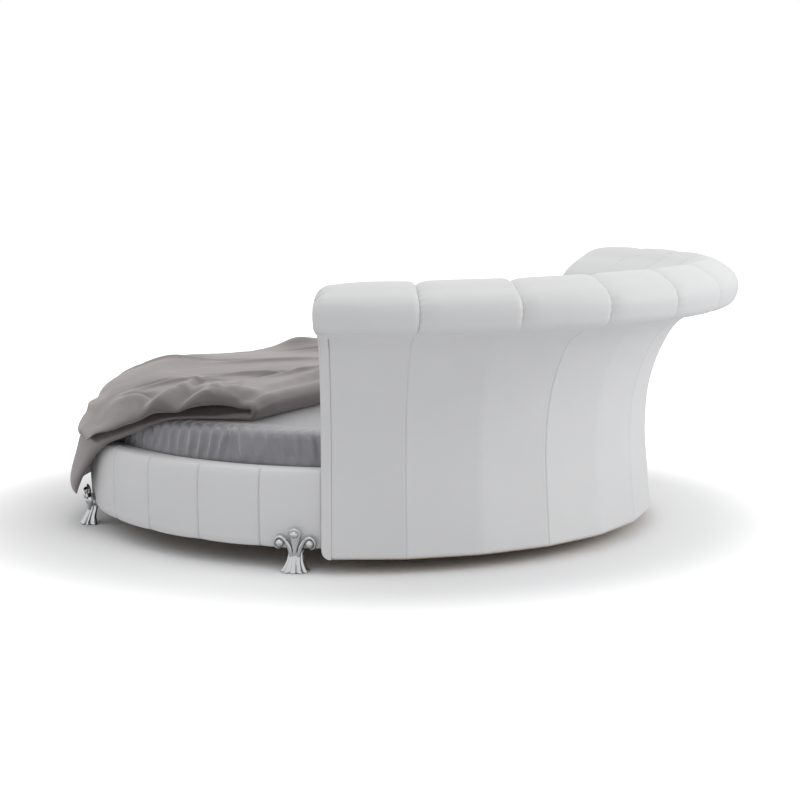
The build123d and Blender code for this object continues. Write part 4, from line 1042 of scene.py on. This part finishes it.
print("sheet", len(fitted.data.polygons), "faces")

# %% Mattress core
CORE_INSET = 0.0220
core_line = mattress_line(CORE_INSET, 120)
core_line = np.concatenate([core_line, [(0.004, core_line[-1, 1])]])
core_turn = np.linspace(0, 360, 240, endpoint=False)[:, None]
core = grid_piece("mattress_filling", polar(core_turn, core_line[None, :, 0], core_line[None, :, 1]),
                  wrap_rows=True, flip=True)
dress(core, foam, "mattress_foam", "mattress", "mattress_core")
print("core", len(core.data.polygons), "faces")

# %% [markdown]
# The duvet is one puffy slab, folded back over itself. It is worked out flat first. A line runs
# through the middle of the filling: from the lower hem to the fold, round it, and back over the top
# to the upper hem. Filling swells to both sides of that line and thins to a sewn edge. Then the flat
# slab is bent over the bed: the distance from the bed's middle becomes the length along a line that
# runs over the mattress, round its rim and down in front of the rail.

# %% Line that the duvet lies on
SUPPORT_LINE = [(0.0, 0.5228), (0.50, 0.5228), (1.00, 0.5226), (1.040, 0.5213), (1.078, 0.5130),
                (1.108, 0.4920), (1.132, 0.4560), (1.160, 0.4150), (1.184, 0.3850), (1.1935, 0.3450),
                (1.1962, 0.2800), (1.1965, 0.100)]
support_line = smooth_line(SUPPORT_LINE, 900)
support_step = np.gradient(support_line, axis=0)
support_step /= np.linalg.norm(support_step, axis=1, keepdims=True)
support_run = np.concatenate(([0], np.cumsum(np.linalg.norm(np.diff(support_line, axis=0), axis=1))))
print("line over the bed", round(float(support_run[-1]), 3), "m long")

# %% Soft steps
FOLD_Y = 0.020
LOWER_REACH, UPPER_REACH = 1.490, 1.262
LOWER_FULL, UPPER_FULL = 0.048, 0.036


def rise(value, low, high):
    """Smooth step t * t * (3 - 2 t) from 0 at low to 1 at high."""
    part = np.clip((value - low) / (high - low), 0, 1)
    return part * part * (3 - 2 * part)


def draped(x, y, lift):
    """Bend the flat place (x, y) over the bed and lift it along the normal of the support line."""
    reach, turn = np.hypot(x, y), np.arctan2(y, x)
    radius, height, out, up = (np.interp(reach, support_run, column) for column in (
        support_line[:, 0], support_line[:, 1], -support_step[:, 1], support_step[:, 0]))
    radius, height = radius + lift * out, height + lift * up
    return np.stack([radius * np.cos(turn), radius * np.sin(turn), height], axis=-1)


def swell(distance, width):
    """Share of the full filling near an edge: sqrt(1 - (1 - d / width)^2)."""
    part = 1 - np.clip(distance / width, 0, 1)
    return np.sqrt(np.clip(1 - part**2, 0, 1))


print("half the filling at", [round(float(swell(d, 0.1)), 2) for d in (0.0, 0.05, 0.1)])

# %% [markdown]
# Each layer is laid out flat. Its hem lies on a circle round the bed's middle, its sides follow a
# table of widths that was read off the photograph, and its places crowd at the side edges.

# %% Flat layers
LOWER_STEPS, FOLD_STEPS, UPPER_STEPS = 150, 30, 150
side_share = np.sin(np.linspace(-np.pi / 2, np.pi / 2, 321))[:, None]
lower_share = 1 - np.linspace(0, 1, LOWER_STEPS, endpoint=False)[None]
upper_share = np.linspace(0, 1, UPPER_STEPS + 1)[None, 1:]
fold_turn = np.linspace(-np.pi / 2, np.pi / 2, FOLD_STEPS)[None]


def side_reach(y, table):
    """Half width of a layer at a distance from the fold, from a table of places."""
    places = np.array(table)
    return np.interp(-y, places[:, 0], places[:, 1])


LOWER_SIDE = [(-0.05, 0.985), (0.02, 1.000), (0.12, 1.030), (0.30, 1.045), (0.44, 1.065), (0.56, 1.062),
              (0.80, 1.048), (0.98, 1.060), (1.12, 1.055), (1.50, 1.000)]
UPPER_SIDE = [(-0.05, 0.985), (0.02, 1.010), (0.12, 1.055), (0.30, 1.060), (0.44, 1.050), (0.56, 1.045),
              (0.66, 1.030), (0.80, 0.985), (0.90, 0.940), (1.30, 0.900)]


def layer(share, reach, side_table):
    """Flat places of one layer: share 0 is the fold, share 1 its hem on a circle round the bed."""
    x = 1.05 * side_share + 0 * share
    for _ in range(3):
        run = FOLD_Y + np.sqrt(np.clip(reach**2 - x**2, 0.01, None))
        y = FOLD_Y - share * run
        x = side_share * side_reach(y, side_table)
    return x, y, share * run


lower_x, lower_y, lower_run = layer(lower_share, LOWER_REACH, LOWER_SIDE)
upper_x, upper_y, upper_run = layer(upper_share, UPPER_REACH, UPPER_SIDE)
side_away = (1 - np.abs(side_share)) * 1.05
print("lower layer", lower_x.shape, "places, upper layer", upper_x.shape)

# %% Filling
PRESS_SHARE, PRESS_SPAN = 0.66, (0.84, 1.14)
CLOTH_PAIR = 0.0032


def pressed(x, y):
    """Share of the filling that is left where the layers are bent over the rim and hang."""
    return 1 - PRESS_SHARE * rise(np.hypot(x, y), *PRESS_SPAN)


def filling(x, y, to_hem, full, seed):
    """Thickness: full in the middle, thin at the edges, pressed flat where it hangs, never even."""
    seam_width = 0.046 - 0.020 * bell(y, FOLD_Y, 0.10)
    edge = swell(side_away, seam_width) * swell(to_hem, 0.085)
    uneven = 1 + 0.10 * drift(x / 0.16, y / 0.16, seed)
    return CLOTH_PAIR + full * edge * pressed(x, y) * uneven


lower_thick = filling(lower_x, lower_y, lower_run[:, :1] - lower_run, LOWER_FULL, 301)
upper_thick = filling(upper_x, upper_y, upper_run[:, -1:] - upper_run, UPPER_FULL, 302)
print("thickest place of the layers", lower_thick.max().round(3), upper_thick.max().round(3))

# %% [markdown]
# A duvet that was thrown back is never flat. Waves grow where it hangs, air lifts the upper layer in
# broad humps, puffs stand along the near hem, and creases and wrinkles run over all of it.

# %% Waves and air
WAVE_HEIGHT, HANG_LIFT, FLARE_HEIGHT = 0.014, 0.016, 0.036


def hanging_waves(x, y, seed):
    """Upright waves that grow where the cloth hangs and has more width than the bed has round."""
    turn, reach = np.arctan2(y, x), np.hypot(x, y)
    waves = 0.5 + 0.5 * np.sin(turn * 17 + 1.3 * np.sin(turn * 5 + seed))
    flare = FLARE_HEIGHT * bell(np.degrees(turn), -48.0, 10.0) * rise(reach, 1.20, 1.46)
    return WAVE_HEIGHT * waves * rise(reach, 1.20, 1.42) + HANG_LIFT * rise(reach, 1.28, 1.50) + flare


def near_folds(x, y):
    """Puffs of the upper layer along the hem on the near side, with a dip between two of them."""
    puffs = 0.018 * bell(y, -0.40, 0.30) + 0.034 * bell(y, -0.33, 0.055) + 0.056 * bell(y, -0.125, 0.090)
    return rise(x, 0.76, 1.00) * (puffs - 0.012 * bell(y, -0.245, 0.030))


AIR_HUMPS = [(0.014, (0.0, 0.85), (-0.36, 0.45)), (0.024, (0.25, 0.34), (-0.84, 0.24)),
             (0.034, (0.10, 0.45), (0.0, 0.13)), (0.036, (-0.66, 0.20), (-0.60, 0.22)),
             (0.024, (-0.57, 0.09), (-0.68, 0.075)), (-0.016, (-0.29, 0.12), (-0.86, 0.09))]


def top_shape(x, y):
    """Loose air under the upper layer: the sum of height * bell(x) * bell(y) over AIR_HUMPS."""
    return sum(height * bell(x, *across) * bell(y, *along) for height, across, along in AIR_HUMPS)


print(len(AIR_HUMPS), "humps of air")

# %% Creases and wrinkles
def line_distance(x, y, first, last):
    """Signed distance to a line and the share along it, for creases between two flat places."""
    first, last = np.array(first), np.array(last)
    span = last - first
    length = np.linalg.norm(span)
    along = ((x - first[0]) * span[0] + (y - first[1]) * span[1]) / length**2
    away = ((x - first[0]) * -span[1] + (y - first[1]) * span[0]) / length
    return away, along


def creases(x, y, lines):
    """Folds along bent lines: a valley beside a ridge, (ridge - valley) * depth, fading at both ends.

    Each line is bent by 20 mm * sin, and its depth sets where the bend starts.
    """
    total = 0
    for first, last, depth, width in lines:
        away, along = line_distance(x, y, first, last)
        away = away + 0.020 * np.sin(3.0 * along + 500 * depth)
        fade = rise(along, -0.30, 0.45) * rise(1 - along, -0.30, 0.45)
        ridge, valley = bell(away, width, width), bell(away, -width * 0.7, width * 0.85)
        total = total + 1.4 * depth * fade * (ridge - 1.1 * valley)
    return total


TOP_CREASES = [((1.02, -0.40), (0.86, -0.62), 0.014, 0.020), ((0.62, -0.30), (0.80, -0.62), 0.010, 0.030),
               ((0.30, -0.16), (0.55, -0.42), 0.013, 0.030), ((0.10, -0.10), (0.52, -0.20), 0.010, 0.026),
               ((0.95, -0.26), (0.70, -0.40), 0.008, 0.022), ((0.97, -0.10), (0.72, -0.22), 0.009, 0.022),
               ((-0.20, -0.30), (0.20, -0.60), 0.010, 0.035), ((-0.70, -0.20), (-0.35, -0.55), 0.010, 0.034),
               ((0.75, -0.80), (0.55, -1.05), 0.010, 0.028), ((-0.95, -0.35), (-0.75, -0.60), 0.012, 0.026),
               ((0.15, -0.75), (0.30, -1.10), 0.010, 0.034), ((-0.35, -0.80), (-0.25, -1.10), 0.010, 0.034)]


def wrinkles(x, y, seed, amount):
    """Fine soft wrinkles that fan out from the fold and the hems."""
    fan = drift(x / 0.05 + 2.0 * drift(x / 0.3, y / 0.3, seed + 1), y / 0.15, seed)
    broad = drift(x / 0.14, y / 0.20, seed + 2)
    return amount * (fan * 0.45 + broad)


print(len(TOP_CREASES), "creases on the upper layer")

# %% Middle of the filling
lower_wave = hanging_waves(lower_x, lower_y, 1.0)
seam_lift = 1 - swell(side_away, 0.075)
lower_mid = 0.0012 + lower_thick / 2 + lower_wave + 0.010 * seam_lift * pressed(lower_x, lower_y)
lower_at_upper = 0.0044 + 0.047 * pressed(upper_x, upper_y)
puff = near_folds(upper_x, upper_y) * rise(upper_run, 0.0, 0.07)
upper_thick = upper_thick + 0.62 * puff * swell(side_away, 0.030)
upper_wave = hanging_waves(upper_x, upper_y, 1.0) + 0.006 * rise(np.hypot(upper_x, upper_y), 1.1, 1.3)
upper_mid = (lower_at_upper + 0.003 + upper_thick / 2 + upper_wave + 0.014 * seam_lift
             + top_shape(upper_x, upper_y) * rise(upper_run, 0.0, 0.09) + 0.38 * puff)
start_low, start_high = lower_mid[:, -1:], upper_mid[:, :1]
fold_round = (start_high - start_low) / 2
fold_x = side_share * side_reach(FOLD_Y + 0 * fold_turn, UPPER_SIDE)
fold_y = FOLD_Y + fold_round * 1.05 * np.cos(fold_turn)
fold_mid = (start_low + start_high) / 2 + fold_round * np.sin(fold_turn)
thick_low, thick_high = lower_thick[:, -1:], upper_thick[:, :1]
fold_thick = thick_low + (thick_high - thick_low) * (1 + np.sin(fold_turn)) / 2
print("fold", (2 * fold_round.max()).round(3), "m high at most")

# %% [markdown]
# Half the thickness goes to each side of the middle line, along its normal. The flat slab is then
# bent over the bed, and its two skins are joined into a ring of faces with a strip at each side.

# %% Duvet
flat_x = np.concatenate([lower_x, fold_x, upper_x], axis=1)
flat_y = np.concatenate([lower_y, fold_y, upper_y], axis=1)
middle = np.concatenate([lower_mid, fold_mid, upper_mid], axis=1)
thick = np.concatenate([lower_thick, fold_thick, upper_thick], axis=1)
step_y, step_mid = np.gradient(flat_y, axis=1), np.gradient(middle, axis=1)
step_length = np.hypot(step_y, step_mid)
normal_y, normal_mid = step_mid / step_length, -step_y / step_length
is_upper = np.concatenate([0 * lower_x, 0 * fold_x, 1 + 0 * upper_x], axis=1)
is_fold = np.concatenate([0 * lower_x, 1 + 0 * fold_x, 0 * upper_x], axis=1)
crumple = creases(flat_x, flat_y, TOP_CREASES) + wrinkles(flat_x, flat_y, 311, 0.0030)
crumple = crumple * is_upper * swell(side_away, 0.06)
outer_side = draped(flat_x, flat_y + normal_y * thick / 2, middle + normal_mid * thick / 2 + crumple)
inner_half = thick / 2 * (1 - 0.12 * is_fold)
inner_side = draped(flat_x, flat_y - normal_y * inner_half,
                    np.maximum(middle - normal_mid * inner_half, 0.0008))
duvet_points = np.concatenate([outer_side, inner_side[:, ::-1]], axis=1)
duvet_rows, duvet_columns = duvet_points.shape[:2]
half_columns = duvet_columns // 2
duvet_faces = grid_faces(duvet_rows, duvet_columns, False, True)
pair = np.arange(half_columns - 1)
first_cap = np.stack([pair, pair + 1, duvet_columns - 2 - pair, duvet_columns - 1 - pair], axis=-1)
last_cap = first_cap[:, ::-1] + (duvet_rows - 1) * duvet_columns
duvet_faces = np.concatenate([duvet_faces, first_cap, last_cap])[:, ::-1].tolist()
flat_run = np.concatenate([flat_y, flat_y[:, ::-1] + 4.0], axis=1)
flat_side = np.concatenate([flat_x, flat_x[:, ::-1]], axis=1)
duvet_uv = np.stack([flat_side, flat_run], axis=-1).reshape(-1, 2)
duvet = mesh_piece("duvet_cloth", duvet_points.reshape(-1, 3), duvet_faces, duvet_uv)
dress(duvet, duvet_cloth, "duvet_cotton", "duvet", "duvet")
print("duvet", len(duvet.data.polygons), "faces, lowest point", round(float(duvet_points[..., 2].min()), 3))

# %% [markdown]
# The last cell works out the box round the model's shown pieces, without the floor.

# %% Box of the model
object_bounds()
